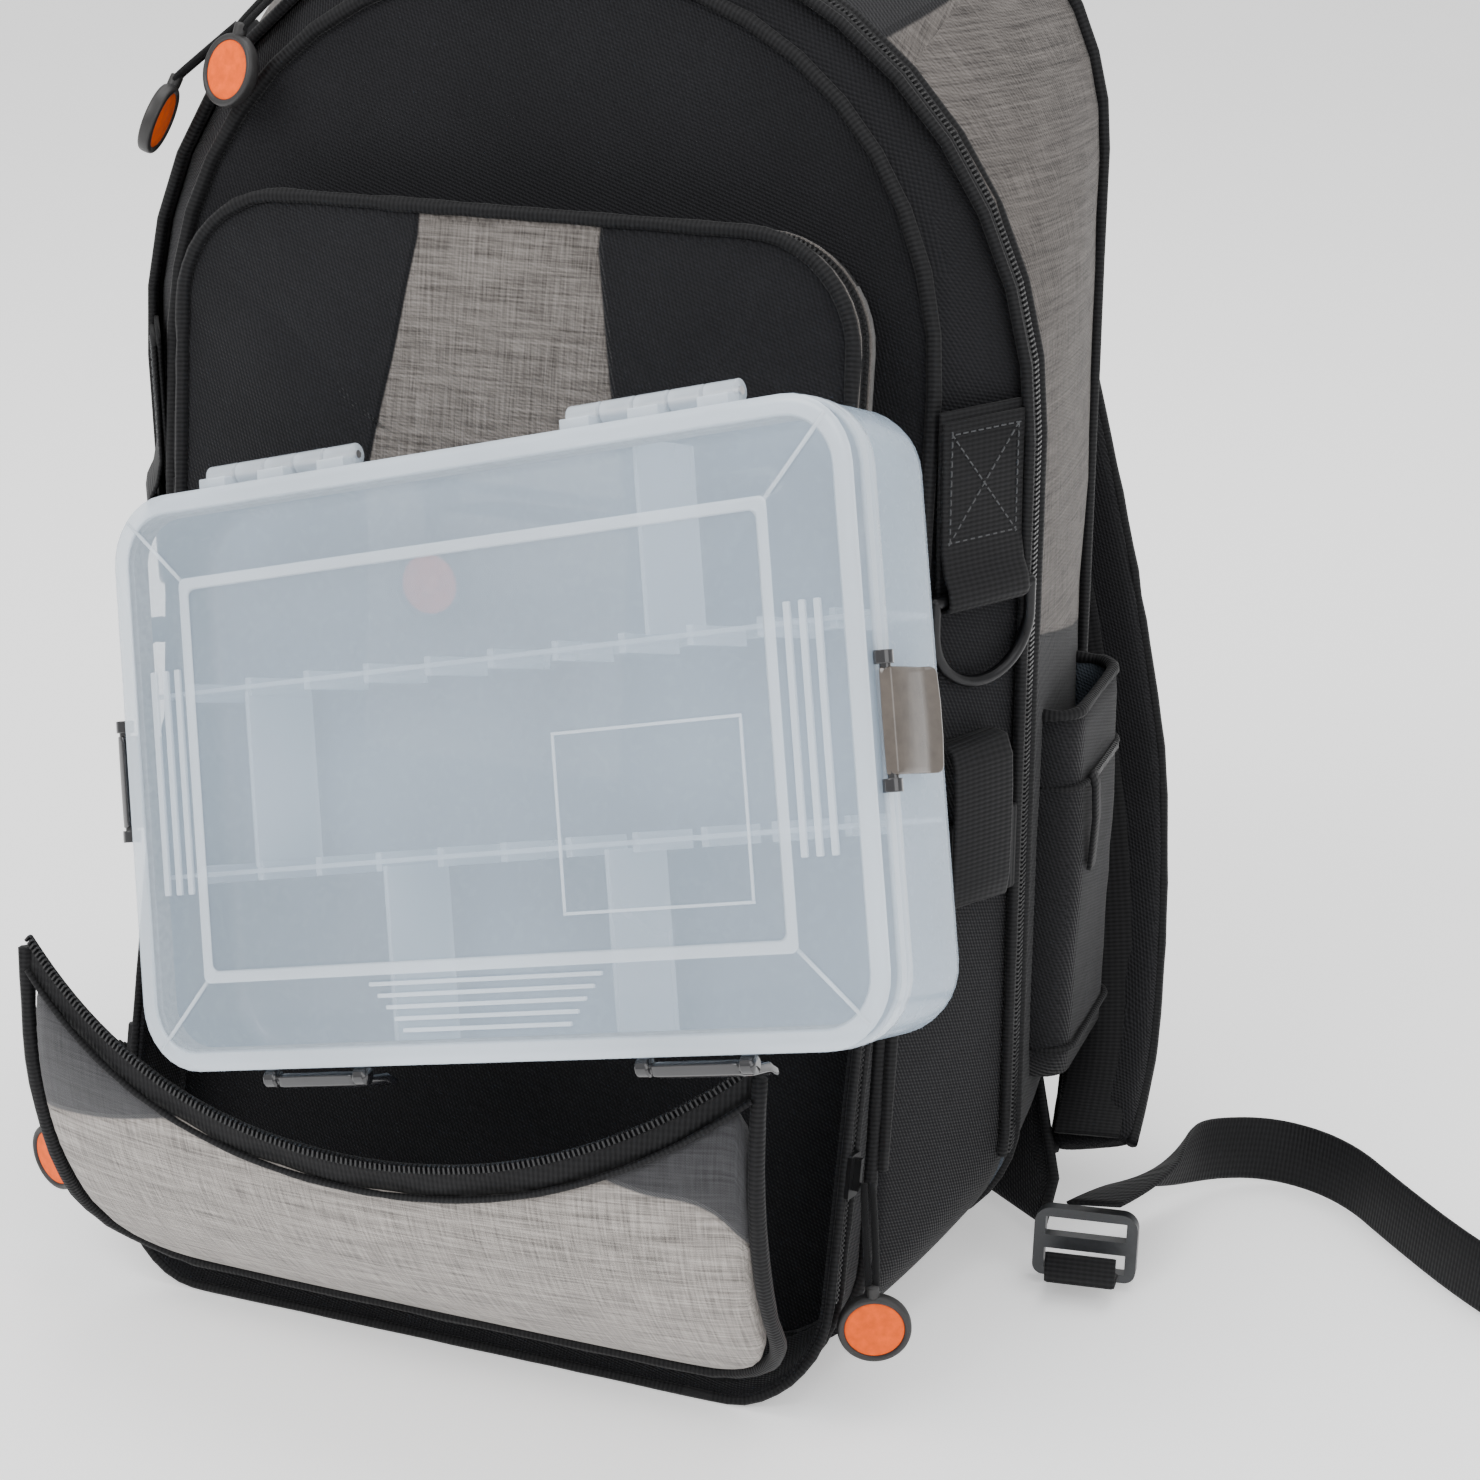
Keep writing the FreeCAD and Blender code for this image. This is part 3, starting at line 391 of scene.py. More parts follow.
def outline(half, low, top, r_low, r_top, arc=10, side=16, across=20):
    """Outline points (x, z), anticlockwise seen from the front; every outline has the same count."""
    def corner(cx, cz, r, start):
        return [(cx + r * math.cos(math.radians(start + 90 * k / arc)),
                 cz + r * math.sin(math.radians(start + 90 * k / arc))) for k in range(arc + 1)]

    arcs = [corner(half - r_low, low + r_low, r_low, -90), corner(half - r_top, top - r_top, r_top, 0),
            corner(r_top - half, top - r_top, r_top, 90), corner(r_low - half, low + r_low, r_low, 180)]
    counts = (side, across, side, across)
    out = []
    for i, points in enumerate(arcs):
        out += points
        (x0, z0), (x1, z1) = points[-1], arcs[(i + 1) % 4][0]
        out += [(x0 + (x1 - x0) * k / counts[i], z0 + (z1 - z0) * k / counts[i]) for k in range(1, counts[i])]
    return out


def frames(points, closed):
    """Tangent at each point of a path."""
    n = len(points)
    out = []
    for i in range(n):
        a = points[(i - 1) % n] if closed or i else points[i]
        b = points[(i + 1) % n] if closed or i < n - 1 else points[i]
        out.append((b - a).normalized())
    return out


def tube(name, points, radius, mat, closed=False, segs=8, wobble=0.0, flat=1.0, up=None):
    """Round tube along points in metres, with UVs in metres."""
    tangents = frames(points, closed)
    normal = (up or Vector((0.31, 0.93, 0.2))).copy()
    rows, uvs, run = [], [], 0.0
    for i, (p, t) in enumerate(zip(points, tangents)):
        normal = (normal - t * normal.dot(t)).normalized()
        side = t.cross(normal)
        r = radius * (1 + wobble * noise.noise(p * 160))
        ring = []
        for k in range(segs):
            a = 2 * math.pi * k / segs
            ring.append(p + normal * (r * math.cos(a)) + side * (r * flat * math.sin(a)))
            uvs.append((run, r * a))
        rows.append(ring)
        if i + 1 < len(points):
            run += (points[i + 1] - p).length
    if closed:
        rows.append(rows[0])
        uvs += [(run, radius * 2 * math.pi * k / segs) for k in range(segs)]
    return grid(name, rows, mat, close=True, caps=(not closed, not closed), uvs=uvs)


def ribbon(name, points, sides, width, thick, mat):
    """Flat band along points, sides giving its width direction, with rounded edges."""
    tangents = frames(points, False)
    profile = [(-0.5, -0.25), (-0.46, -0.5), (0.46, -0.5), (0.5, -0.25), (0.5, 0.25), (0.46, 0.5), (-0.46, 0.5),
               (-0.5, 0.25)]
    rows, uvs, run = [], [], 0.0
    for i, (p, t, s) in enumerate(zip(points, tangents, sides)):
        s = (s - t * s.dot(t)).normalized()
        out = t.cross(s)
        rows.append([p + s * (a * width) + out * (b * thick) for a, b in profile])
        uvs += [(run, a * width) for a, b in profile]
        if i + 1 < len(points):
            run += (points[i + 1] - p).length
    return grid(name, rows, mat, close=True, caps=(True, True), uvs=uvs)


def teeth(name, points, normals, side, mat=None, pitch=0.0017, size=(0.0011, 0.0030, 0.0012)):
    """One row of coil teeth along a path; side moves the row off the path's line."""
    verts, faces = [], []
    run, spots = 0.0, []
    for i in range(len(points) - 1):
        a, b = points[i], points[i + 1]
        length = (b - a).length
        t = (b - a) / max(length, 1e-9)
        while run < length:
            spots.append((a + t * run, t, normals[i]))
            run += pitch
        run -= length
    lx, ly, lz = size
    for p, t, n in spots:
        n = (n - t * n.dot(t)).normalized()
        s = t.cross(n)
        base = len(verts)
        centre = p + s * side
        for x, y, z in ((-1, -1, 0), (1, -1, 0), (1, 1, 0), (-1, 1, 0), (-.6, -.7, 1), (.6, -.7, 1), (.6, .7, 1),
                        (-.6, .7, 1)):
            verts.append(centre + t * (x * lx / 2) + s * (y * ly / 2) + n * (z * lz))
        faces += [tuple(base + k for k in f) for f in ((0, 1, 5, 4), (1, 2, 6, 5), (2, 3, 7, 6), (3, 0, 4, 7),
                                                       (4, 5, 6, 7), (3, 2, 1, 0))]
    return new_mesh(name, verts, faces, mat or TEETH, smooth=False)


def solid(obj, thickness, offset=-1.0, material_offset=0):
    mod = obj.modifiers.new("wall", "SOLIDIFY")
    mod.thickness, mod.offset = thickness, offset
    mod.material_offset = mod.material_offset_rim = material_offset
    mod.use_even_offset = False
    return obj


def subsurf(obj, level=1):
    mod = obj.modifiers.new("smooth", "SUBSURF")
    mod.levels = mod.render_levels = level
    return obj


def bevel(obj, width, segments=2, angle=35):
    mod = obj.modifiers.new("bevel", "BEVEL")
    mod.width, mod.segments = width, segments
    mod.limit_method, mod.angle_limit = "ANGLE", math.radians(angle)
    return obj


def fixed_normals(obj):
    bm = bmesh.new()
    bm.from_mesh(obj.data)
    bmesh.ops.recalc_face_normals(bm, faces=bm.faces)
    bm.to_mesh(obj.data)
    bm.free()
    return obj


def joined(name, objs):
    for o in bpy.context.selected_objects:
        o.select_set(False)
    for o in objs:
        o.select_set(True)
    bpy.context.view_layer.objects.active = objs[0]
    bpy.ops.object.join()
    objs[0].name = name
    objs[0].data.name = name
    return objs[0]


def box_mesh(name, low, high, mat, to=None):
    corners = [Vector((x, y, z)) for x in (low[0], high[0]) for y in (low[1], high[1]) for z in (low[2], high[2])]
    corners = [row((to or (lambda q: q))(c)) for c in corners]
    faces = [(0, 1, 3, 2), (4, 6, 7, 5), (0, 4, 5, 1), (2, 3, 7, 6), (0, 2, 6, 4), (1, 5, 7, 3)]
    return fixed_normals(new_mesh(name, corners, faces, mat, smooth=False))


def put(obj, body, slot, *nodes, pad=None):
    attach(obj, body)
    if nodes:
        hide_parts(*nodes)
    return obj


def inflate(obj, pressure, pins, cap, frames_run=16, stiffness=14.0):
    """Cloth simulation of a closed padded shape: its seams are pinned, and no point moves further than cap."""
    rest = [v.co.copy() for v in obj.data.vertices]
    group = obj.vertex_groups.new(name="pins")
    for i, weight in pins.items():
        group.add([i], weight, "REPLACE")
    mod = obj.modifiers.new("Cloth", "CLOTH")
    s = mod.settings
    s.quality = 5
    s.mass = 0.25
    s.tension_stiffness = s.compression_stiffness = stiffness
    s.shear_stiffness = stiffness / 2
    s.bending_stiffness = 0.6
    s.use_pressure = True
    s.uniform_pressure_force = pressure
    s.effector_weights.gravity = 0
    s.vertex_group_mass = "pins"
    mod.collision_settings.use_collision = False
    mod.point_cache.frame_start, mod.point_cache.frame_end = 1, frames_run
    scene = bpy.context.scene
    for f in range(1, frames_run + 1):
        scene.frame_set(f)
    moved = obj.evaluated_get(bpy.context.evaluated_depsgraph_get()).to_mesh()
    target = [v.co.copy() for v in moved.vertices]
    obj.evaluated_get(bpy.context.evaluated_depsgraph_get()).to_mesh_clear()
    obj.modifiers.remove(mod)
    scene.frame_set(1)
    for v, a, b in zip(obj.data.vertices, rest, target):
        d = b - a
        if d.length > cap:
            d = d.normalized() * cap
        v.co = a + d
    obj.data.update()
    return obj


# ---- camera, floor, light ------------------------------------------------------------------
def stage():
    cam = bpy.data.objects.new("camera", bpy.data.cameras.new("camera"))
    cam.data.sensor_width, cam.data.lens = SENSOR, SENSOR * FOCAL / IMAGE
    cam.location = row(*CAMERA_AT)
    cam.rotation_euler = (math.radians(90 - CAMERA_DOWN), 0, math.radians(CAMERA_TURN))
    cam.data.clip_start = 0.01
    bpy.context.scene.collection.objects.link(cam)
    bpy.context.scene.camera = cam
    m = Mat("floor_white")
    x, y, z = m.place()
    tone = m.noise(m.vector(x, y, z), 3.0, 2.0)
    m.finish(Base_Color=m.mix(tone, (0.93, 0.93, 0.93), (0.97, 0.97, 0.97)), Roughness=0.9,
             Emission_Color=(1.0, 1.0, 1.0), Emission_Strength=0.42)
    floor = new_mesh("floor", [(-6, -6, 0), (6, -6, 0), (6, 6, 0), (-6, 6, 0)], [(0, 1, 2, 3)], m.mat)
    world = bpy.data.worlds.new("studio")
    bpy.context.scene.world = world
    world.use_nodes = True
    world.node_tree.nodes["Background"].inputs[0].default_value = (1.0, 1.0, 1.0, 1.0)
    world.node_tree.nodes["Background"].inputs[1].default_value = 0.95
    for name, at, size, power in (("key", (-0.9, -1.5, 1.9), 1.4, 36.0), ("fill", (1.7, -1.0, 1.3), 1.6, 18.0),
                                  ("top", (0.1, 0.5, 2.2), 1.6, 24.0)):
        light = bpy.data.objects.new(name, bpy.data.lights.new(name, "AREA"))
        light.data.size, light.data.energy = size, power
        light.location = at
        light.rotation_euler = (Vector((0, 0, 0.2)) - Vector(at)).to_track_quat("-Z", "Y").to_euler()
        bpy.context.scene.collection.objects.link(light)


stage()


# ---- cords ---------------------------------------------------------------------------------
def nurbs(name, points):
    curve = bpy.data.curves.new(name, "CURVE")
    curve.dimensions = "3D"
    spline = curve.splines.new("NURBS")
    spline.points.add(len(points) - 1)
    for sp, p in zip(spline.points, points):
        sp.co = (*p, 1.0)
    spline.order_u = 3
    spline.use_endpoint_u = True
    spline.resolution_u = 16
    obj = bpy.data.objects.new(name, curve)
    bpy.context.scene.collection.objects.link(obj)
    return obj


TAIL_POINTS = ((197, 59, 33), (208, 85, 31), (212, 114, 25), (221, 141, 18), (243, 158, 13.5), (271, 150, 13.5),
               (295, 124, 13.5), (322, 97, 13.5), (352, 74, 13.5), (382, 68, 13.5), (410, 80, 13.5))


def strap_tail():
    curve = nurbs("tail_line", [row(p) for p in TAIL_POINTS])
    bpy.context.view_layer.update()
    line = bpy.data.meshes.new_from_object(curve)
    path = [v.co.copy() for v in line.vertices]
    bpy.data.objects.remove(curve)
    total = len(path) - 1
    sides = []
    for i in range(len(path)):
        share = min(1.0, i / (0.28 * total))
        share = share * share * (3 - 2 * share)
        sides.append(Vector((1.0, 0.15, 0.25)).lerp(Vector((0.05, 0.1, 1.0)), share).normalized())
    band = ribbon("tail", path, sides, 0.0250, 0.0016, WEBBING)
    hem = ribbon("tail_hem", path[-14:-1], sides[-14:-1], 0.0254, 0.0046, WEBBING)
    put(hem, "pack", "webbing_black")
    put(band, "pack", "webbing_black", "strap_tail")


strap_tail()


# ---- zip sliders, cords and discs ----------------------------------------------------------
DISC_R, DISC_T = 12.5, 5.0


def puller(name, body, centre, normal, eye, nodes):
    """Orange disc with a black rim and collar, and the doubled cord that ties it to the slider."""
    centre, eye = Vector(centre), Vector(eye)
    axis = Vector(normal).normalized()
    to = eye - centre
    to = (to - axis * to.dot(axis)).normalized()
    side = axis.cross(to)
    profile_face = [(0.0, 0.38), (0.6, 0.38), (0.78, 0.37), (0.80, 0.32)]
    profile_rim = [(0.80, 0.32), (0.82, 0.44), (0.9, 0.5), (0.97, 0.42), (1.0, 0.25), (1.0, -0.25), (0.97, -0.42),
                   (0.9, -0.5), (0.82, -0.44), (0.80, -0.32)]
    back = [(r, -h) for r, h in profile_face[::-1]]
    made = []
    for tag, profile, mat in (("face", profile_face, ORANGE), ("rim", profile_rim, RIM_BLACK),
                              ("back", back, ORANGE)):
        rows = []
        for r, h in profile:
            r = max(r, 0.02)
            rows.append([row(centre + (to * math.cos(a) + side * math.sin(a)) * (DISC_R * r) + axis * (DISC_T * h))
                         for a in (2 * math.pi * k / 40 for k in range(40))])
        caps = (tag == "face", tag == "back")
        made.append(grid(f"{name}_{tag}", rows, mat, close=True, caps=caps))
    collar = [row(centre + to * (DISC_R + t)) for t in (-1.5, 0.0, 1.5, 3.0, 4.0)]
    made.append(tube(f"{name}_collar", collar, 0.0024, RIM_BLACK, segs=12))
    disc = joined(f"{name}_disc", made)
    subsurf(fixed_normals(disc), 1)
    put(disc, body, "puller_orange", nodes[0])
    end = centre + to * (DISC_R + 3.0)
    off = side * 1.35
    route = [eye + off, eye.lerp(end, 0.3) + off * 1.2, eye.lerp(end, 0.7) + off * 1.1, end + off,
             end - to * 1.6 + off * 0.9, end - to * 1.6 - off * 0.9, end - off, eye.lerp(end, 0.7) - off * 1.1,
             eye.lerp(end, 0.3) - off * 1.2, eye - off]
    cord = nurbs(f"{name}_cord", [row(p) for p in route])
    cord.data.bevel_depth = 0.00125
    cord.data.bevel_resolution = 3
    cord.data.use_fill_caps = True
    cord.data.materials.append(CORD)
    put(cord, body, "cord_orange", nodes[1])
    row(eye + off)


def eye_on_arch(angle):
    a = math.radians(angle)
    return Vector((0, ZIP_Y, ZIP_TOP - ZIP_R_TOP)) + Vector(((ZIP_HALF + 9.0) * math.cos(a), -1.5,
                                                             (ZIP_HALF + 9.0) * math.sin(a)))


puller("main_a", "main_slider_a", (-113.0, 37.0, 417.0), (-0.35, -0.9, 0.3), eye_on_arch(125.0),
       ("main_puller_a", "main_pull_cord_a"))
puller("main_b", "main_slider_b", (-146.0, 43.0, 398.0), (-0.9, -0.2, 0.39), eye_on_arch(136.0),
       ("main_puller_b", "main_pull_cord_b"))
puller("lower_right", "lower_slider_right", (148.6, -42.0, 31.0), (0.35, -0.94, 0),
       (LOWER_HALF + 7.8, -30.5, 78.0), ("lower_puller_right", "lower_pull_cord_right"))
puller("lower_left", "lower_slider_left", (-152.5, -62.0, 46.0), (-0.35, -0.94, 0),
       (-LOWER_HALF - 7.8, -30.5, 78.0), ("lower_puller_left", "lower_pull_cord_left"))
SLIP_EYE = lean((-20.0, FRONT_Y - UPPER_DEPTH - 4.0 - 9.2, 290.0))
puller("slip", "slip_slider", SLIP_EYE + Vector((0, -2.0, -31.0)), (0, -1, 0.15), SLIP_EYE,
       ("slip_puller", "slip_pull_cord"))

# ---- rear section --------------------------------------------------------------------------
def wrinkle(p, size, scale, seed=0.0):
    """Smooth wandering offset for soft cloth."""
    q = p * scale + Vector((seed, seed * 0.7, -seed))
    return size * (noise.noise(q) + 0.5 * noise.noise(q * 2.3))


def rear_section():
    near = outline(ZIP_HALF, 0, ZIP_TOP, ZIP_R_LOW, ZIP_R_TOP)
    far = outline(REAR_HALF, 0, REAR_TOP, REAR_R_LOW, REAR_R_TOP)
    rows, steps = [], 18
    for i in range(steps + 1):
        t = i / steps
        y = ZIP_Y + 2.0 + (REAR_Y - ZIP_Y - 2.0) * t
        ring = []
        for (x0, z0), (x1, z1) in zip(near, far):
            x, z = x0 + (x1 - x0) * t, z0 + (z1 - z0) * t
            out = Vector((x, 0, z - 240 if z > 240 else (z - 60 if z < 60 else 0))).normalized()
            swell = 4.0 * math.sin(math.pi * t) * (1.0 if z > 30 else 0.0)
            p = Vector((x, y, z)) + out * (swell + (wrinkle(Vector((x, y, z)), 1.2, 0.02) if z > 12 else 0))
            ring.append(row(p.x, p.y, max(p.z, 0.0)))
        rows.append(ring)
    # roll over the rear edge and close the back with shrinking rings
    for inset, back in ((2, 1.2), (6, 2.0), (14, 1.4), (26, 1.0), (45, 0.6), (70, 0.5), (100, 0.5), (140, 0.5)):
        half = REAR_HALF - inset
        ring = outline(half, inset, REAR_TOP - inset, max(REAR_R_LOW - inset, 1), max(REAR_R_TOP - inset, 1))
        rows.append([row(x, REAR_Y + back - 1.0, z) for x, z in ring])

    def kind(c):
        return 1 if c.y * 1000 - ORIGIN.y > REAR_Y - 2 else 0

    shell = grid("rear_body", rows, [SIDE_CLOTH, MESH, LINING], close=True, caps=(False, True), face_mat=kind)
    solid(fixed_normals(shell), 0.0024, -1.0, 2)
    put(shell, "pack", "twill_black", "rear_shell", pad=0.5)
    band = outline(ZIP_HALF + 0.4, 0, ZIP_TOP + 0.4, ZIP_R_LOW, ZIP_R_TOP)
    welt = [(x, z) for x, z in outline(ZIP_HALF + 0.8, 0.8, ZIP_TOP + 0.8, ZIP_R_LOW, ZIP_R_TOP)]
    put(tube("rear_welt", [row(x, ZIP_Y + 7.0, max(z, 2.4)) for x, z in welt], 0.0022, PIPING, True, wobble=0.1),
        "pack", "piping_black")
    edge = outline(REAR_HALF + 1.0, 2.2, REAR_TOP + 1.0, REAR_R_LOW, REAR_R_TOP)
    put(tube("rear_edge_piping", [row(x, REAR_Y, z) for x, z in edge], 0.0022, PIPING, True, wobble=0.1),
        "pack", "piping_black")
    for tag, body, y0, y1, slot, node, yt in (
            ("rear", "pack", ZIP_Y + 0.3, ZIP_Y + 6.0, "zip_black", "main_zip_rear", ZIP_Y + 1.3),
            ("front", "front_section", ZIP_Y - 6.0, ZIP_Y - 0.3, "zip_black", "main_zip_front", ZIP_Y - 1.3)):
        keep = [(x, z) for x, z in band if z > 40]
        rows = [[row(x * s, y, z * s if z > 300 else z) for x, z in keep]
                for y, s in ((y0, 1.0), ((y0 + y1) / 2, 1.004), (y1, 1.0))]
        tape = grid(f"{tag}_zip_tape", rows, TAPE)
        solid(tape, 0.0008)
        put(tape, body, slot, node)
        line = [row(x * 1.005, yt, z * 1.002 if z > 300 else z) for x, z in keep]
        centre = row(0, yt, 300)
        normals = [(p - centre).normalized() for p in line]
        put(teeth(f"{tag}_teeth", line, normals, 0.0), body, slot)


rear_section()


# ---- padded slabs and the front section ----------------------------------------------------
def slab(name, shape, y_front, y_back, mats, steps=(0, 1.5, 5, 11, 19, 29, 41, 55, 71), crown=2.0, at=None,
         shift=0.0):
    """Closed cushion on an outline: a crowned face, rolled edges and a flat back."""
    half, low, top, r_low, r_top = shape
    at = at or (lambda p: p)
    rows = []

    def ring(i, y, shrink=0.0):
        i += shrink
        points = outline(half - i, low + i, top - i, max(r_low - i, 1), max(r_top - i, 1), 8, 12, 14)
        return [row(at(Vector((x + shift, y, z)))) for x, z in points]

    deep = y_back - y_front
    sign = 1 if deep > 0 else -1
    steps = [i for i in steps if i < min(half, (top - low) / 2) - 2]
    for i in steps[::-1]:
        lift = crown * (1 - math.exp(-i / 12.0))
        rows.append(ring(i, y_front + sign * (1.4 if i == 0 else 0.4 if i < 2 else 0.0) - sign * lift))
    rows.append(ring(0, (y_front + y_back) / 2))
    rows.append(ring(0, y_back - sign * 0.6))
    rows.append(ring(3, y_back))
    rows.append(ring(30, y_back))
    obj = grid(name, rows, mats, close=True, caps=(True, True))
    n = len(rows[0])
    pins = {i: 1.0 for i in range((len(steps) - 1) * n, len(rows) * n)}
    fixed_normals(obj)
    return obj, pins


def front_section():
    near = outline(FRONT_HALF, 0, FRONT_TOP, FRONT_R_LOW, FRONT_R_TOP)
    far = outline(ZIP_HALF, 0, ZIP_TOP, ZIP_R_LOW, ZIP_R_TOP)
    rows = []
    for inset in (110, 80, 50, 28, 12, 3):
        ring = outline(FRONT_HALF - inset, inset, FRONT_TOP - inset, max(FRONT_R_LOW - inset, 1),
                       max(FRONT_R_TOP - inset, 1))
        rows.append([row(lean((x, FRONT_Y, z))) for x, z in ring])
    steps = 12
    for i in range(steps + 1):
        t = i / steps
        ring = []
        for (x0, z0), (x1, z1) in zip(near, far):
            a = lean((x0, FRONT_Y, z0))
            p = a.lerp(Vector((x1, ZIP_Y - 2.0, z1)), t)
            out = Vector((p.x, 0, p.z - 240 if p.z > 240 else 0)).normalized()
            p += out * (0.9 * math.sin(math.pi * t) + wrinkle(p, 0.5, 0.02, 4.0)) if p.z > 12 else Vector()
            ring.append(row(p.x, p.y, max(p.z, 0.0)))
        rows.append(ring)
    body = grid("front_body", rows, [TWILL, LINING], close=True, caps=(True, False))
    solid(body, 0.0024, -1.0, 1)
    put(fixed_normals(body), "front_section", "twill_black", "front_shell", pad=0.3)
    ring = outline(FRONT_HALF + 1.6, 3, FRONT_TOP + 1.6, FRONT_R_LOW, FRONT_R_TOP + 1.6)
    path = [row(lean((x, FRONT_Y - 0.8, z))) for x, z in ring if z > 62]
    put(tube("front_rim_piping", path, 0.0026, PIPING, wobble=0.15), "front_section", "piping_black",
        "front_piping")
    path = [row(x, ZIP_Y - 7.0, z) for x, z in outline(ZIP_HALF + 0.8, 0.8, ZIP_TOP + 0.8, ZIP_R_LOW, ZIP_R_TOP)
            if z > 44]
    put(tube("front_welt", path, 0.0020, PIPING, wobble=0.1), "front_section", "piping_black")


def gusset_ring(name, shape, y0, y1, at, mats, face_mat=None, bulge=0.5):
    rows = []
    for k in range(7):
        t = k / 6
        y = lambda x, z: y0(x, z) + (y1(x, z) - y0(x, z)) * t
        grow = bulge * math.sin(math.pi * t)
        half, low, top, r_low, r_top = shape
        points = outline(half + grow, max(low - grow, 0), top + grow, r_low, r_top)
        rows.append([row(at(Vector((x, y(x, z), z)))) for x, z in points])
    obj = grid(name, rows, mats, close=True, face_mat=face_mat)
    bm = bmesh.new()
    bm.from_mesh(obj.data)
    bmesh.ops.recalc_face_normals(bm, faces=bm.faces)
    centre = sum((v.co for v in bm.verts), Vector()) / len(bm.verts)
    if sum(f.normal.dot(f.calc_center_median() - centre) for f in bm.faces) < 0:
        bmesh.ops.reverse_faces(bm, faces=bm.faces)
    bm.to_mesh(obj.data)
    bm.free()
    return solid(obj, 0.0024, -1.0, len(mats) - 1)


def upper_pocket():
    shape = (UPPER_HALF, UPPER_LOW, UPPER_TOP, UPPER_R, UPPER_R)

    def kind(c):
        p = c * 1000 - ORIGIN
        return 1 if (p.x > 30 and p.z > 372) or (p.x > 112 and p.z > 262) else 0

    gusset = gusset_ring("upper_gusset", shape, lambda x, z: FRONT_Y - UPPER_DEPTH, lambda x, z: FRONT_Y, lean,
                         [TWILL, MELANGE, LINING], kind)
    put(gusset, "front_section", "twill_black", "upper_pocket_gusset", pad=0.3)
    line = [(x, z) for x, z in outline(UPPER_HALF + 0.7, UPPER_LOW - 0.7, UPPER_TOP + 0.7, UPPER_R, UPPER_R)
            if z > 232]
    rows = [[row(lean((x, y, z))) for x, z in line] for y in (FRONT_Y - 18.5, FRONT_Y - 9.5)]
    put(solid(grid("upper_zip_tape", rows, TAPE), 0.0007, 0.0), "front_section", "zip_black")
    centre = row(lean((0, -30, 285)))
    for tag, y in (("a", FRONT_Y - 14.8), ("b", FRONT_Y - 13.2)):
        path = [row(lean((x, y, z))) for x, z in line]
        normals = [(p - centre).normalized() for p in path]
        put(teeth(f"upper_teeth_{tag}", path, normals, 0.0, size=(0.0011, 0.0016, 0.0012)), "front_section",
            "zip_black")
    for tag, y in (("front", FRONT_Y - 19.0), ("back", FRONT_Y - 9.0)):
        path = [row(lean((x, y, z))) for x, z in outline(UPPER_HALF + 0.9, UPPER_LOW - 0.9, UPPER_TOP + 0.9,
                                                         UPPER_R, UPPER_R) if z > 232]
        put(tube(f"upper_zip_seam_{tag}", path, 0.0007, MELANGE, segs=6), "front_section", "melange_light")
    y1 = FRONT_Y - UPPER_DEPTH - 0.4
    pad, pins = slab("cover_pad", shape, y1 - COVER_T, y1, COVER_CLOTH, at=lean, crown=1.2)
    inflate(pad, 3.0, pins, 0.0022)
    subsurf(pad)
    put(pad, "upper_cover", "twill_black", "upper_pocket_cover", pad=0.5)
    ring = outline(UPPER_HALF + 1.6, UPPER_LOW - 1.6, UPPER_TOP + 1.6, UPPER_R + 1.6, UPPER_R + 1.6)
    path = [row(lean((x, y1 - COVER_T + 1.0, z))) for x, z in ring]
    put(tube("cover_piping", path, 0.0024, PIPING, True, wobble=0.2), "upper_cover", "piping_black",
        "upper_cover_piping")
    yz = y1 - COVER_T - 1.0
    rows = [[row(lean((x, yz, z))) for x in (-80, -60, -40, -20, 0, 20, 40, 60, 80)] for z in (283, 287, 297, 301)]
    put(solid(grid("slip_tape", rows, TAPE), 0.0006, 0.0), "upper_cover", "zip_black", "slip_pocket_zip")
    path = [row(lean((x, yz - 0.5, 292))) for x in (-78, 78)]
    out = Vector((0, -1, 0.15)).normalized()
    for tag, side in (("a", 0.0009), ("b", -0.0009)):
        put(teeth(f"slip_teeth_{tag}", path, [out, out], side, size=(0.0011, 0.0019, 0.0012)), "upper_cover",
            "zip_black")


front_section()
upper_pocket()


# ---- lower pocket and its flap -------------------------------------------------------------
def smooth_profile(points, steps):
    ends = [points[0]] + list(points) + [points[-1]]
    out = []
    for i in range(1, len(ends) - 2):
        p0, p1, p2, p3 = ends[i - 1:i + 3]
        for k in range(steps):
            t = k / steps
            out.append(tuple(
                0.5 * (2 * p1[j] + (p2[j] - p0[j]) * t + (2 * p0[j] - 5 * p1[j] + 4 * p2[j] - p3[j]) * t ** 2
                       + (3 * p1[j] - p0[j] - 3 * p2[j] + p3[j]) * t ** 3) for j in range(len(p0))))
    return out + [tuple(points[-1])]


def flap_at(x, z, out=0.0):
    share = min(1.0, abs(x) / FLAP_HALF) ** 2
    line = smooth_profile([(y + b * share, h) for (y, h), b in zip(FLAP_PROFILE, FLAP_BACK)], 8)
    z = max(z, line[0][1])
    for (y0, z0), (y1, z1) in zip(line, line[1:]):
        if z <= z1 or (y1, z1) == line[-1]:
            t = 0 if z1 == z0 else min(1.0, (z - z0) / (z1 - z0))
            d = Vector((0, y1 - y0, z1 - z0)).normalized()
            return Vector((x, y0 + (y1 - y0) * t, z)) + Vector((0, -d.z, d.y)) * out
    return Vector((x, line[-1][0], z))


def flap_top(x):
    radius = (FLAP_HALF ** 2 + FLAP_SAG ** 2) / (2 * FLAP_SAG)
    return FLAP_TOP - FLAP_SAG + radius - math.sqrt(radius ** 2 - x ** 2)


def flap_low(x):
    over = max(0.0, abs(x) - (FLAP_HALF - FLAP_R_LOW))
    return 16.0 + FLAP_R_LOW - math.sqrt(max(FLAP_R_LOW * FLAP_R_LOW - over * over, 0.0))


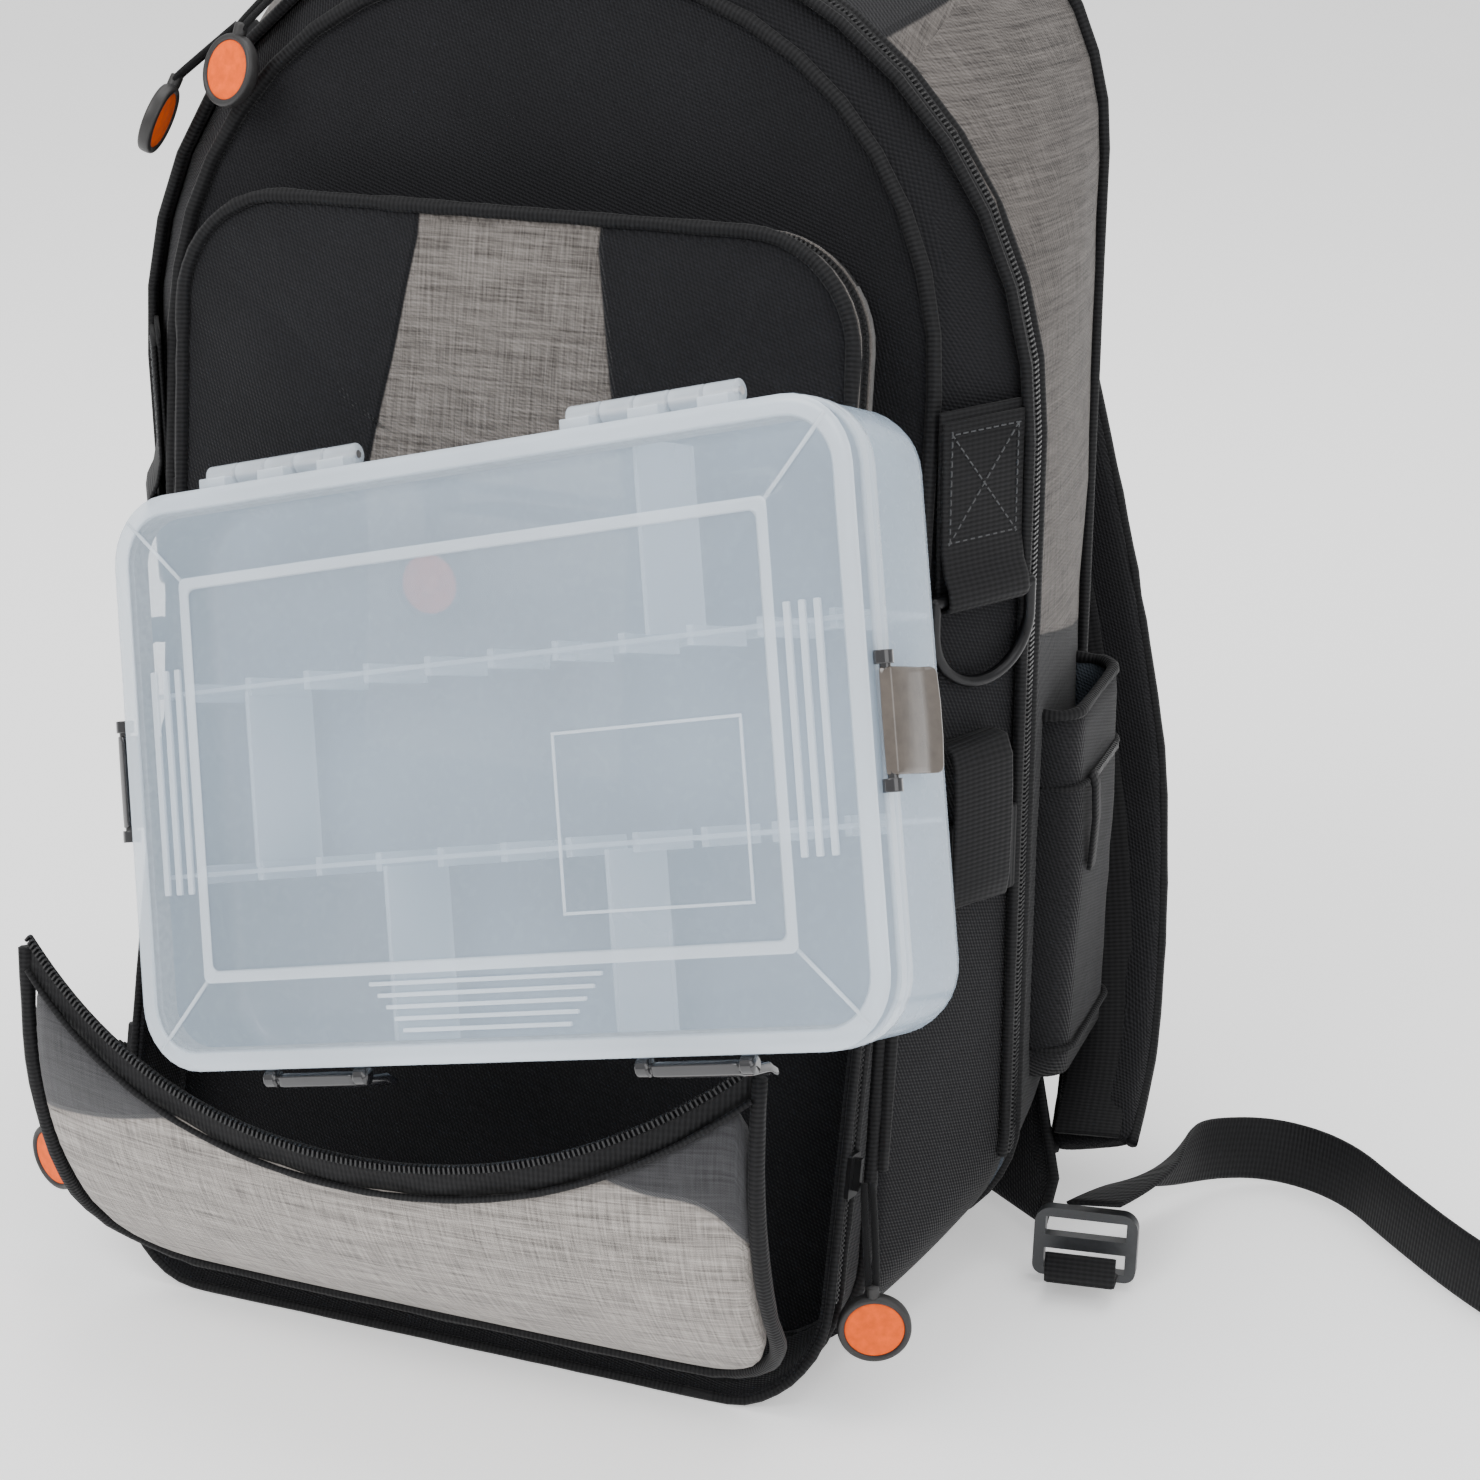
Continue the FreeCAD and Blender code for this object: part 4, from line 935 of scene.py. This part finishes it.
def lower_pocket():
    shape = (LOWER_HALF, 0, LOWER_TOP, LOWER_R_LOW, LOWER_R_TOP)
    gusset = gusset_ring("lower_gusset", shape, lambda x, z: RIM_Y + RIM_SLOPE * z,
                         lambda x, z: FRONT_Y + FRONT_SLOPE * z, lambda p: p, [TWILL, TWILL], bulge=0.0)
    put(gusset, "front_section", "twill_black", "lower_pocket_gusset", pad=0.3)
    ring = outline(LOWER_HALF + 0.6, 0.5, LOWER_TOP + 0.6, LOWER_R_LOW, LOWER_R_TOP)
    for tag, off in (("a", 3.2), ("b", 4.8)):
        path = [row(x, RIM_Y + RIM_SLOPE * z + off, z) for x, z in ring if z > 36]
        centre = row(0, -40, 95)
        put(teeth(f"lower_teeth_{tag}", path, [(p - centre).normalized() for p in path], 0.0,
                  size=(0.0011, 0.0016, 0.0012)), "front_section", "zip_black")
    path = [row(x, RIM_Y + RIM_SLOPE * z + 10, max(z, 1.6)) for x, z in ring]
    put(tube("lower_rim_piping", path, 0.0016, PIPING, True, wobble=0.15), "front_section", "piping_black")
    path = [row(x * 1.004, FRONT_Y + FRONT_SLOPE * z - 3, max(z, 3.0)) for x, z in ring]
    put(tube("lower_base_piping", path, 0.0028, PIPING, True, wobble=0.15), "front_section", "piping_black")
    path = [row(x, RIM_Y + RIM_SLOPE * z, max(z, 1.6)) for x, z in ring]
    put(tube("lower_lip_piping", path, 0.0016, PIPING, True, wobble=0.15), "front_section", "piping_black")

    cols, rws = 33, 15
    front, back, pins = [], [], {}
    for k in range(rws):
        t = k / (rws - 1)
        line, rear = [], []
        for i in range(cols):
            x = FLAP_HALF * (2 * i / (cols - 1) - 1)
            low, high = flap_low(x), flap_top(x) - 11.5
            z = low + (high - low) * t
            edge = min(FLAP_HALF - abs(x), z - low, high - z)
            swell = 1.9 + 1.6 * (1 - math.exp(-max(edge, 0) / 10.0))
            line.append(row(flap_at(x, z, swell)))
            rear.append(row(flap_at(x, z, -1.8)))
        front.append(line)
        back.append(rear)
    flap = grid("flap_pad", front + back[::-1] + [front[0]], FLAP_CLOTH)
    bm = bmesh.new()
    bm.from_mesh(flap.data)
    bmesh.ops.remove_doubles(bm, verts=bm.verts, dist=0.00001)
    bmesh.ops.holes_fill(bm, edges=[e for e in bm.edges if e.is_boundary], sides=0)
    bmesh.ops.recalc_face_normals(bm, faces=bm.faces)
    bm.to_mesh(flap.data)
    bm.free()
    box_uv(flap)
    rim = set()
    for k in (0, rws - 1):
        rim |= {tuple(round(c, 5) for c in p) for p in front[k]}
    rim |= {tuple(round(c, 5) for c in r[j]) for r in front for j in (0, cols - 1)}
    rear_points = {tuple(round(c, 5) for c in p) for r in back for p in r}
    for v in flap.data.vertices:
        key = tuple(round(c, 5) for c in v.co)
        if key in rim or key in rear_points:
            pins[v.index] = 1.0
    inflate(flap, 3.0, pins, 0.0030)
    subsurf(flap)
    put(flap, "lower_flap", "melange_light", "lower_flap", pad=0.4)

    path = []
    grown = FLAP_HALF + 1.6
    r = FLAP_R_LOW + 1.6
    for k in range(10):
        z = flap_top(-FLAP_HALF) - 5 - k * 10.0
        if z > 52:
            path.append((-grown, z))
    for k in range(13):
        a = math.radians(180 + 90 * k / 12)
        path.append((-FLAP_HALF + FLAP_R_LOW + r * math.cos(a), 16 + FLAP_R_LOW + r * math.sin(a)))
    for k in range(1, 14):
        path.append((-94 + 188 * k / 14, 14.4))
    path += [(-x, z) for x, z in path[:-13][::-1]]
    put(tube("flap_piping", [row(flap_at(x, z)) + (Vector((0, 0, (z - 16) / 1000)) if z < 16 else Vector())
                             for x, z in path], 0.0027, PIPING, wobble=0.2), "lower_flap", "piping_black",
        "lower_flap_piping")
    xs = [FLAP_HALF * (2 * i / 48 - 1) for i in range(49)]
    rows = [[row(flap_at(x, flap_top(x) - d, 0.3 + 0.5 * math.sin(0.9 * i) * (d > 4))) for i, x in enumerate(xs)]
            for d in (12.0, 8.0, 3.0, 0.4)]
    put(solid(grid("flap_zip_tape", rows, TAPE), 0.0016, 0.0), "lower_flap", "zip_black", "lower_flap_zip")
    path = [row(flap_at(x, flap_top(x) - 1.2, 1.2)) for x in xs]
    put(teeth("flap_teeth", path, [Vector((0, -1, 0.15))] * len(path), 0.0), "lower_flap", "zip_black")
    path = [row(flap_at(x, flap_top(x) - 12.0, 2.6)) for x in xs]
    put(tube("flap_top_seam", path, 0.0011, PIPING, wobble=0.2), "lower_flap", "piping_black")


lower_pocket()


# ---- webbing on the gussets ----------------------------------------------------------------
def gusset_point(z0, along, out, sign, x=0.0, y=0.0, z=0.0):
    front = Vector((FRONT_HALF, FRONT_Y + FRONT_SLOPE * z0, z0))
    run = Vector((ZIP_HALF, ZIP_Y, z0)) - front
    normal = Vector((run.y, -run.x, 0)).normalized()
    p = front + run * along + normal * out + run.normalized() * x - normal * y + Vector((0, 0, z))
    return row(sign * p.x, p.y, p.z)


def stitch_box(name, corners, body, slot):
    """A sewn box with a cross, on a patch given by its four corners."""
    a, b, c, d = corners
    out = (b - a).cross(d - a).normalized()
    made = []
    for k, (p, q) in enumerate(((a, b), (b, c), (c, d), (d, a), (a, c), (b, d))):
        made.append(teeth(f"{name}_{k}", [p, q], [out, out], 0.0, mat=BUCKLE, pitch=0.0032,
                          size=(0.0022, 0.0006, 0.0003)))
        made.append(teeth(f"{name}_{k}b", [p, q], [-out, -out], 0.0, mat=BUCKLE, pitch=0.0032,
                          size=(0.0022, 0.0006, 0.0003)))
    put(joined(name, made), body, slot)


def gusset_webbing(side, sign):
    def at(out, z, x=0.0):
        return gusset_point(263.0, 0.48, out, sign, x, 0.0, z - 263.0)

    across = at(6, 263, 1) - at(6, 263, 0)
    path = [at(2.5, z) for z in (325, 318, 305, 290, 275, 268)]
    path += [at(6.2 - 3.6 * math.cos(math.radians(a)), 263 - 3.6 * math.sin(math.radians(a)))
             for a in (0, 30, 60, 90, 120, 150, 180)]
    path += [at(9.0, 267), at(6.4, 272), at(4.6, 280), at(4.3, 300), at(4.3, 322)]
    put(ribbon(f"d_webbing_{side}", path, [across] * len(path), 0.0340, 0.0016, WEBBING), "front_section",
        "webbing_black", f"d_ring_webbing_{side}")
    stitch_box(f"d_stitch_{side}", [at(5.2, 282, -14), at(5.2, 282, 14), at(5.2, 318, 14), at(5.2, 318, -14)],
               "front_section", "webbing_black")

    def on(out, z, x=0.0, along=0.46):
        return gusset_point(168.5, along, 3.2 + out, sign, x, 0.0, z - 168.5)

    path = [on(1.0 + 0.3 * math.sin(x * 0.3), 168.5, x, 0.5) for x in range(-21, 24, 4)]
    put(ribbon(f"side_band_{side}", path, [Vector((0, 0, 1))] * len(path), 0.031, 0.0018, WEBBING),
        "front_section", "webbing_black", f"side_loop_{side}")
    path = [on(2.9, 157), on(4.0, 156.4), on(8.2, 158.5), on(9.0, 165), on(9.3, 180), on(9.2, 196), on(8.6, 208),
            on(6.5, 213.5), on(2.5, 214.5), on(-0.8, 214)]
    put(ribbon(f"side_loop_band_{side}", path, [across] * len(path), 0.025, 0.0018, WEBBING), "front_section",
        "webbing_black")
    stitch_box(f"loop_stitch_{side}", [on(2.1, 156, -19, .5), on(2.1, 156, -14.5, .5), on(2.1, 181, -14.5, .5),
                                       on(2.1, 181, -19, .5)], "front_section", "webbing_black")


# ---- rear pockets, harness and handle ------------------------------------------------------
def side_pocket(side, sign):
    corner = [(math.cos(math.radians(a)), math.sin(math.radians(a))) for a in range(-90, 91, 15)]
    plan = [(x, 86.0) for x in (163.4, 165.2)] + [(167 + 10 * c, 96 + 10 * s) for c, s in corner if s <= 0.01]
    plan += [(177.0, y) for y in (104, 112, 120, 130)]
    plan += [(167 + 10 * c, 138 + 10 * s) for c, s in corner if s >= -0.01] + [(x, 148.0) for x in (163.0, 160.2)]
    rows = []
    for k in range(15):
        t = k / 14
        z = 66 + 140 * t
        ring = []
        for x, y in plan:
            soft = 1.2 * math.sin(math.pi * t) if x > 170 else 0
            fold = wrinkle(Vector((x, y, z)), 1.0, 0.03, 8.0) if 0 < k < 14 and x > 165 else 0
            ring.append(row(sign * (x - 1.4 + soft + fold), y, z))
        rows.append(ring)
    obj = grid(f"pocket_{side}", rows, [MESH, LINING], caps=(True, False))
    solid(obj, 0.0020, 0.0, 1)
    put(fixed_normals(obj), "pack", "twill_black", f"side_pocket_{side}", pad=0.2)
    rim = [row(sign * (x - 1.4), y, 205.0) for x, y in plan]
    put(tube(f"pocket_rim_{side}", rim, 0.0022, PIPING, wobble=0.3), "pack", "piping_black")
    for tag, z in (("low", 76.0), ("zip", 178.0)):
        rim = [row(sign * (x + (1.2 if x > 165 else 0)), y, z) for x, y in plan]
        put(tube(f"pocket_{tag}_seam_{side}", rim, 0.0012, TAPE, wobble=0.2), "pack", "piping_black")
    line = [row(sign * 178.6, y, 178.0) for y in (100, 108, 116, 124, 134)]
    put(teeth(f"pocket_teeth_{side}", line, [Vector((sign, 0, 0))] * len(line), 0.0, size=(0.0012, 0.003, 0.0014)),
        "pack", "zip_black")
    bow = ((0.4, 180), (2.2, 176), (2.8, 164), (2.0, 150), (1.6, 144))
    tab = [row(sign * (178.4 + d), 101.0, z) for d, z in bow]
    put(ribbon(f"pocket_tab_{side}", tab, [Vector((0, 1, 0))] * len(bow), 0.007, 0.0016, WEBBING), "pack",
        "webbing_black")


def strap_line(sign, steps=10):
    paths = {1: ((167, 440), (200, 420), (222, 370), (228, 290), (220, 190), (192, 100), (148, 40), (102, 16)),
             -1: ((167, 440), (200, 420), (222, 370), (228, 290), (220, 190), (206, 110), (196, 44))}
    return smooth_profile(paths[sign], steps)


def on_strap(sign, x, y, z):
    """A point of the shoulder strap, splayed about its upper end."""
    a = math.radians(-{1: 15.5, -1: -5.0}[sign])
    dx, dz = x, z - 440.0
    return row(sign * 72.0 + dx * math.cos(a) + dz * math.sin(a), y, 440.0 - dx * math.sin(a) + dz * math.cos(a))


def shoulder_strap(side, sign):
    line = strap_line(sign)
    rows, edges, middle = [], ([], []), []
    for i, (y, z) in enumerate(line):
        before, after = line[max(i - 1, 0)], line[min(i + 1, len(line) - 1)]
        d = Vector((0, after[0] - before[0], after[1] - before[1])).normalized()
        out = Vector((0, -d.z, d.y))
        width = 54.0 if z > 130 else 30.0 + 24.0 * max(0.0, z - 10) / 120.0
        ends = min(1.0, 0.35 + 0.65 * min(i, len(line) - 1 - i) / 4)
        ring = []
        for k in range(24):
            a = 2 * math.pi * k / 24
            c, s = math.cos(a), math.sin(a)
            x = width / 2 * math.copysign(abs(c) ** 0.5, c)
            o = 6.6 * ends * math.copysign(abs(s) ** 0.75, s)
            o += wrinkle(Vector((x, y, z)), 0.35, 0.05, 3.0)
            p = on_strap(sign, x, y + out.y * o, z + out.z * o)
            p.z = max(p.z, 0.001)
            ring.append(p)
        rows.append(ring)
        for tag, x in ((0, -width / 2 + 0.4), (1, width / 2 - 0.4)):
            p = on_strap(sign, x, y, z)
            p.z = max(p.z, 0.0024)
            edges[tag].append(p)
        q = on_strap(sign, 0, y - out.y * 7.3, z - out.z * 7.3)
        q.z = max(q.z, 0.001)
        middle.append(q)
    obj = grid(f"strap_{side}", rows, MESH, close=True, caps=(True, True))
    subsurf(fixed_normals(obj))
    put(obj, "pack", "mesh_black", f"shoulder_strap_{side}", pad=0.5)
    for tag, path in zip(("in", "out"), edges):
        put(tube(f"strap_{side}_{tag}_binding", path, 0.0022, PIPING, wobble=0.2), "pack", "piping_black")
    put(ribbon(f"strap_{side}_webbing", middle[4:], [Vector((1, 0, 0))] * len(middle[4:]), 0.024, 0.0014, WEBBING),
        "pack", "webbing_black")


def back_pad(side, sign):
    pad, pins = slab(f"pad_{side}", (50.0, 96.0, 418.0, 30.0, 40.0), REAR_Y + 12.0, REAR_Y + 0.8, MESH,
                     steps=(0, 1.5, 5, 10, 16, 24, 34, 44), crown=0.6, shift=sign * 58.0)
    inflate(pad, 3.0, pins, 0.0025)
    subsurf(pad)
    put(pad, "pack", "mesh_black", f"back_pad_{side}", pad=0.6)
    path = [row(x + sign * 58.0, REAR_Y + 3.0, z) for x, z in outline(50.4, 95.6, 418.4, 30, 40, 8, 12, 14)]
    put(tube(f"pad_{side}_binding", path, 0.0018, PIPING, True, wobble=0.2), "pack", "piping_black")


LOCK = {1: (Vector((194, 62, 15)),
            Matrix.Rotation(math.radians(8), 3, "Z") @ Matrix.Rotation(math.radians(-12), 3, "X")),
        -1: (Vector((-104, 186, 19)), Matrix.Identity(3))}


def wing(side, sign):
    if sign > 0:
        corners = [Vector(c) for c in ((121, 118, 6), (150, 134, 60), (174, 86, 24), (171, 82, 6))]
        normal = Vector((0.75, 0.62, 0)).normalized()
        spots = [(-3.6, -9.8), (-11, -9.9), (-16.6, -9.6), (-17.2, -6), (-17.0, 0.6)]
    else:
        corners = [Vector(c) for c in ((-110, 159, 14), (-110, 159, 68), (-110, 180, 32), (-110, 180, 9))]
        normal = Vector((1, 0, 0))
        spots = [(6.1, -12), (6.3, -5), (6.3, 4), (6.1, 14)]
    rows = []
    for k in range(9):
        t = k / 8
        line = []
        for j in range(7):
            s = j / 6
            p = corners[0].lerp(corners[1], s).lerp(corners[3].lerp(corners[2], s), t)
            p += normal * (1.5 + 0.8 * math.sin(math.pi * t) * math.sin(math.pi * s))
            line.append(row(p))
        rows.append(line)
    plate = grid(f"wing_{side}", rows, TWILL)
    subsurf(solid(plate, 0.0026, 0.0))
    put(plate, "pack", "twill_black", f"strap_wing_{side}", pad=0.3)
    edge = [row(corners[1] + normal * 1.5), row(corners[1].lerp(corners[2], 0.5) + normal * 1.5),
            row(corners[2] + normal * 1.5), row(corners[3] + normal * 1.5)]
    put(tube(f"wing_{side}_binding", edge, 0.0020, PIPING), "pack", "piping_black")
    at, turn = LOCK[sign]
    path = [row(at + turn @ Vector((0, y, z))) for y, z in spots]
    put(ribbon(f"wing_{side}_webbing", path, [turn @ Vector((1, 0, 0))] * len(path), 0.025, 0.0020, WEBBING),
        "pack", "webbing_black")


def haul_handle():
    path = [(36.5, z) for z in (474, 480, 486)]
    for a in range(0, 91, 15):
        path.append((2 + 34.5 * math.cos(math.radians(a)), 490 + 34.5 * math.sin(math.radians(a))))
    path += [(-x, z) for x, z in path[::-1]]
    line = [row(x, 140, z) for x, z in path]
    put(ribbon("handle", line, [Vector((0, 1, 0))] * len(line), 0.024, 0.0028, WEBBING), "pack", "webbing_black",
        "haul_handle")
    grip = [row(x * 0.99, 140, z) for x, z in path if abs(x) < 30]
    put(tube("handle_grip", grip, 0.0042, MESH, segs=12, flat=0.35, up=Vector((0, 1, 0)), wobble=0.1), "pack",
        "webbing_black")


for side, sign in SIDES:
    gusset_webbing(side, sign)
    side_pocket(side, sign)
    shoulder_strap(side, sign)
    back_pad(side, sign)
    wing(side, sign)
haul_handle()


# ---- tackle box ----------------------------------------------------------------------------
def box_rings(name, rings, mat, caps=(False, True)):
    rows = []
    for inset, y in rings:
        r = max(BOX_R - inset, 2.5)
        points = outline(BOX_W / 2 - inset, inset - BOX_H / 2, BOX_H / 2 - inset, r, r, 8, 8, 10)
        rows.append([row(on_box((x, y, z))) for x, z in points])
    return fixed_normals(grid(name, rows, mat, close=True, caps=caps))


def box_bar(name, x0, x1, y0, y1, z0, z1, mat, width=0.4):
    return bevel(box_mesh(name, (x0, y0, z0), (x1, y1, z1), mat, on_box), width / 1000)


def barrel(name, x, length, mat):
    line = [row(on_box((x + s * length / 2, HINGE_Y, HINGE_Z))) for s in (-1, -0.94, 0.94, 1)]
    return tube(name, line, HINGE_R / 1000, mat, segs=20)


def latch_point(spot, turn, x, y, z):
    a = math.radians(turn)
    turned = Vector((x * math.cos(a) + z * math.sin(a), y, -x * math.sin(a) + z * math.cos(a)))
    return on_box(Vector(spot) + turned)


def tackle_box():
    shell = box_rings("lid_shell", ((0, 9.8), (0, 5.0), (0, 1.8), (0.5, 0.6), (1.8, 0.05), (6.0, 0.0), (7.2, 0.7),
                                    (26.0, 0.7), (27.6, -0.5), (29.0, -0.75), (31.2, -0.75), (32.4, 0.3),
                                    (60.0, 0.35)), CLEAR_LID)
    put(shell, "tackle_box_lid", "box_clear", "box_lid")
    rim = box_rings("lid_rim", ((0.0, 9.9), (-0.05, 7.2), (-0.05, 6.9), (1.4, 6.9), (1.6, 9.9), (0.0, 9.9)),
                    CLEAR_EDGE, (False, False))
    put(rim, "tackle_box_lid", "box_clear")
    bead = box_rings("lid_bead", ((28.0, -0.55), (28.9, -0.8), (31.0, -0.8), (31.9, -0.5), (31.0, 0.2),
                                  (28.9, 0.2), (28.0, -0.55)), CLEAR_EDGE, (False, False))
    put(bead, "tackle_box_lid", "box_clear")
    edge = box_rings("lid_edge", ((0.2, 1.0), (0.9, 0.1), (2.6, -0.1), (5.6, -0.1), (6.6, 0.5), (5.0, 1.2),
                                  (1.5, 1.8), (0.2, 1.0)), CLEAR_EDGE, (False, False))
    put(edge, "tackle_box_lid", "box_clear")
    bars = []
    for k in range(3):
        bars.append(box_bar(f"groove_r{k}", 112 + 5 * k, 114.2 + 5 * k, -0.3, 1.2, -38, 34, CLEAR_EDGE))
        bars.append(box_bar(f"groove_l{k}", -124.2 + 5 * k, -122 + 5 * k, -0.3, 1.2, -36, 36, CLEAR_EDGE))
    for k in range(5):
        bars.append(box_bar(f"rib{k}", -44 + 3 * k, 42 - 3 * k, -0.3, 1.2, -68.0 - 3.6 * k, -66.6 - 3.6 * k,
                            CLEAR_EDGE))
    for sx in (-1, 1):
        for sz in (-1, 1):
            a, b = Vector((sx * 130, 0.2, sz * 85)), Vector((sx * 108, 0.2, sz * 63))
            bars.append(tube(f"corner_{sx}_{sz}", [row(on_box(a)), row(on_box(b))], 0.0007, CLEAR_EDGE, segs=6))
    for tag, x0, x1, z0, z1 in (("top", 30, 96, 3, 4), ("low", 30, 96, -50, -49), ("left", 30, 31, -49, 3),
                                ("right", 95, 96, -49, 3)):
        bars.append(box_bar(f"recess_{tag}", x0, x1, -0.1, 0.5, z0, z1, CLEAR_EDGE, 0.2))
    for middle in (-72.0, 68.0):
        for step in (-24, 0, 24):
            x = middle + step
            bars.append(barrel(f"lid_knuckle_{x:.0f}", x, 10.6, CLEAR_EDGE))
            bars.append(box_bar(f"lid_foot_{x:.0f}", x - 5.3, x + 5.3, 3.0, 9.6, BOX_H / 2 - 1, HINGE_Z - 1.0,
                                CLEAR_EDGE))
    for b in bars:
        put(b, "tackle_box_lid", "box_clear")
    tray = box_rings("tray_shell", ((1.0, 10.6), (1.0, 26.0), (1.4, 42.0), (2.4, 46.0), (5.0, 47.8), (12.0, 48.0),
                                    (40.0, 48.0)), CLEAR_TRAY)
    put(tray, "tackle_box", "box_clear", "box_tray")
    lip = box_rings("tray_lip", ((0.6, 10.7), (0.2, 11.4), (0.2, 14.0), (1.0, 14.4), (2.2, 13.6), (2.2, 11.0),
                                 (0.6, 10.7)), CLEAR_EDGE, (False, False))
    put(lip, "tackle_box", "box_clear")
    for middle in (-72.0, 68.0):
        for step in (-12, 12):
            x = middle + step
            put(barrel(f"tray_knuckle_{x:.0f}", x, 10.6, CLEAR_EDGE), "tackle_box", "box_clear")
            put(box_bar(f"tray_foot_{x:.0f}", x - 5.3, x + 5.3, HINGE_Y + 0.8, HINGE_Y + 6.5, BOX_H / 2 - 2,
                        HINGE_Z - 1.0, CLEAR_EDGE), "tackle_box", "box_clear")
    tall = BOX_H / 2 - 3.8
    plates = [(-134.0, 134.0, z - 0.8, z + 0.8) for z in (29.0, -30.0)]
    bays = {-1: (-tall, -31.4), 0: (-28.6, 27.6), 1: (30.4, tall)}
    plates += [(x - 0.8, x + 0.8, *bays[bay]) for x, bay in ((-45, -1), (38, -1), (-96, 0), (58, 1))]
    made = []
    for k, (x0, x1, z0, z1) in enumerate(plates):
        made.append(box_mesh(f"plate{k}", (x0, 13, z0), (x1, 45, z1), CLEAR_PLATE, on_box))
    for x in range(-120, 121, 24):
        for z in (29.0, -30.0):
            made.append(box_mesh(f"clip_{x}_{z}", (x - 1.2, 14, z - 3.0), (x + 1.2, 44, z + 3.0), CLEAR_PLATE,
                                 on_box))
    put(bevel(joined("divider_plates", made), 0.0003), "tackle_box", "box_clear", "box_dividers")
    latches = (((-BOX_W / 2, 0, 2), 90, "latch_left", LATCH), ((BOX_W / 2, 0, -2), -90, "latch_right", SMOKE),
               ((-70, 0, -BOX_H / 2), 0, "latch_low_left", LATCH),
               ((70, 0, -BOX_H / 2), 0, "latch_low_right", LATCH))
    profile = [(2.0, -2.4), (3.2, -5.6), (6.0, -6.5), (12.0, -6.9), (18.0, -6.7), (22.0, -6.6), (25.5, -8.2),
               (26.9, -7.6), (26.4, -6.0), (24.0, -4.9), (22.0, -3.6), (12.0, -3.5), (6.6, -3.2), (5.4, -1.4)]
    for spot, turn, node, mat in latches:
        rows = []
        for x, s in ((-15, 0.86), (-14.4, 0.97), (-13, 1.0), (-5, 1.03), (5, 1.03), (13, 1.0), (14.4, 0.97),
                     (15, 0.86)):
            rows.append([row(latch_point(spot, turn, x, 4.2 + (y - 4.2) * s, -4.6 + (z + 4.6) * s))
                         for y, z in profile])
        tongue = fixed_normals(grid(f"{node}_tongue", rows, mat, close=True, caps=(True, True)))
        bevel(tongue, 0.0004)
        slot_name = "latch_smoke" if mat is SMOKE else "latch_black"
        put(tongue, node, slot_name, f"box_{node}")
        line = [row(latch_point(spot, turn, x, 4.2, -3.4)) for x in (-19.2, -18.8, 18.8, 19.2)]
        put(tube(f"{node}_pin", line, 0.0017, LATCH, segs=12), "tackle_box_lid", "latch_black")
        for s in (-1, 1):
            line = [row(latch_point(spot, turn, s * 17.8 + d, 4.2, -3.0)) for d in (-1.9, -1.6, 1.6, 1.9)]
            put(tube(f"{node}_ear_{'ab'[s > 0]}", line, 0.0029, LATCH, segs=14), "tackle_box_lid", "latch_black")


tackle_box()

# ---- CAD pieces that are shown as they are -------------------------------------------------
KEPT = {"frame_sheet": BOARD, "box_hinge_pins": STEEL, "box_seal": SEAL, "ladder_lock_left": BUCKLE,
        "ladder_lock_right": BUCKLE, "d_ring_left": METAL, "d_ring_right": METAL}
for node in ("main_slider_a", "main_slider_b", "lower_slider_left", "lower_slider_right", "upper_slider_a",
             "upper_slider_b", "slip_slider"):
    KEPT[node] = METAL
for node, material in KEPT.items():
    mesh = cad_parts[node].data
    mesh.materials.clear()
    mesh.materials.append(material)

bpy.context.view_layer.update()
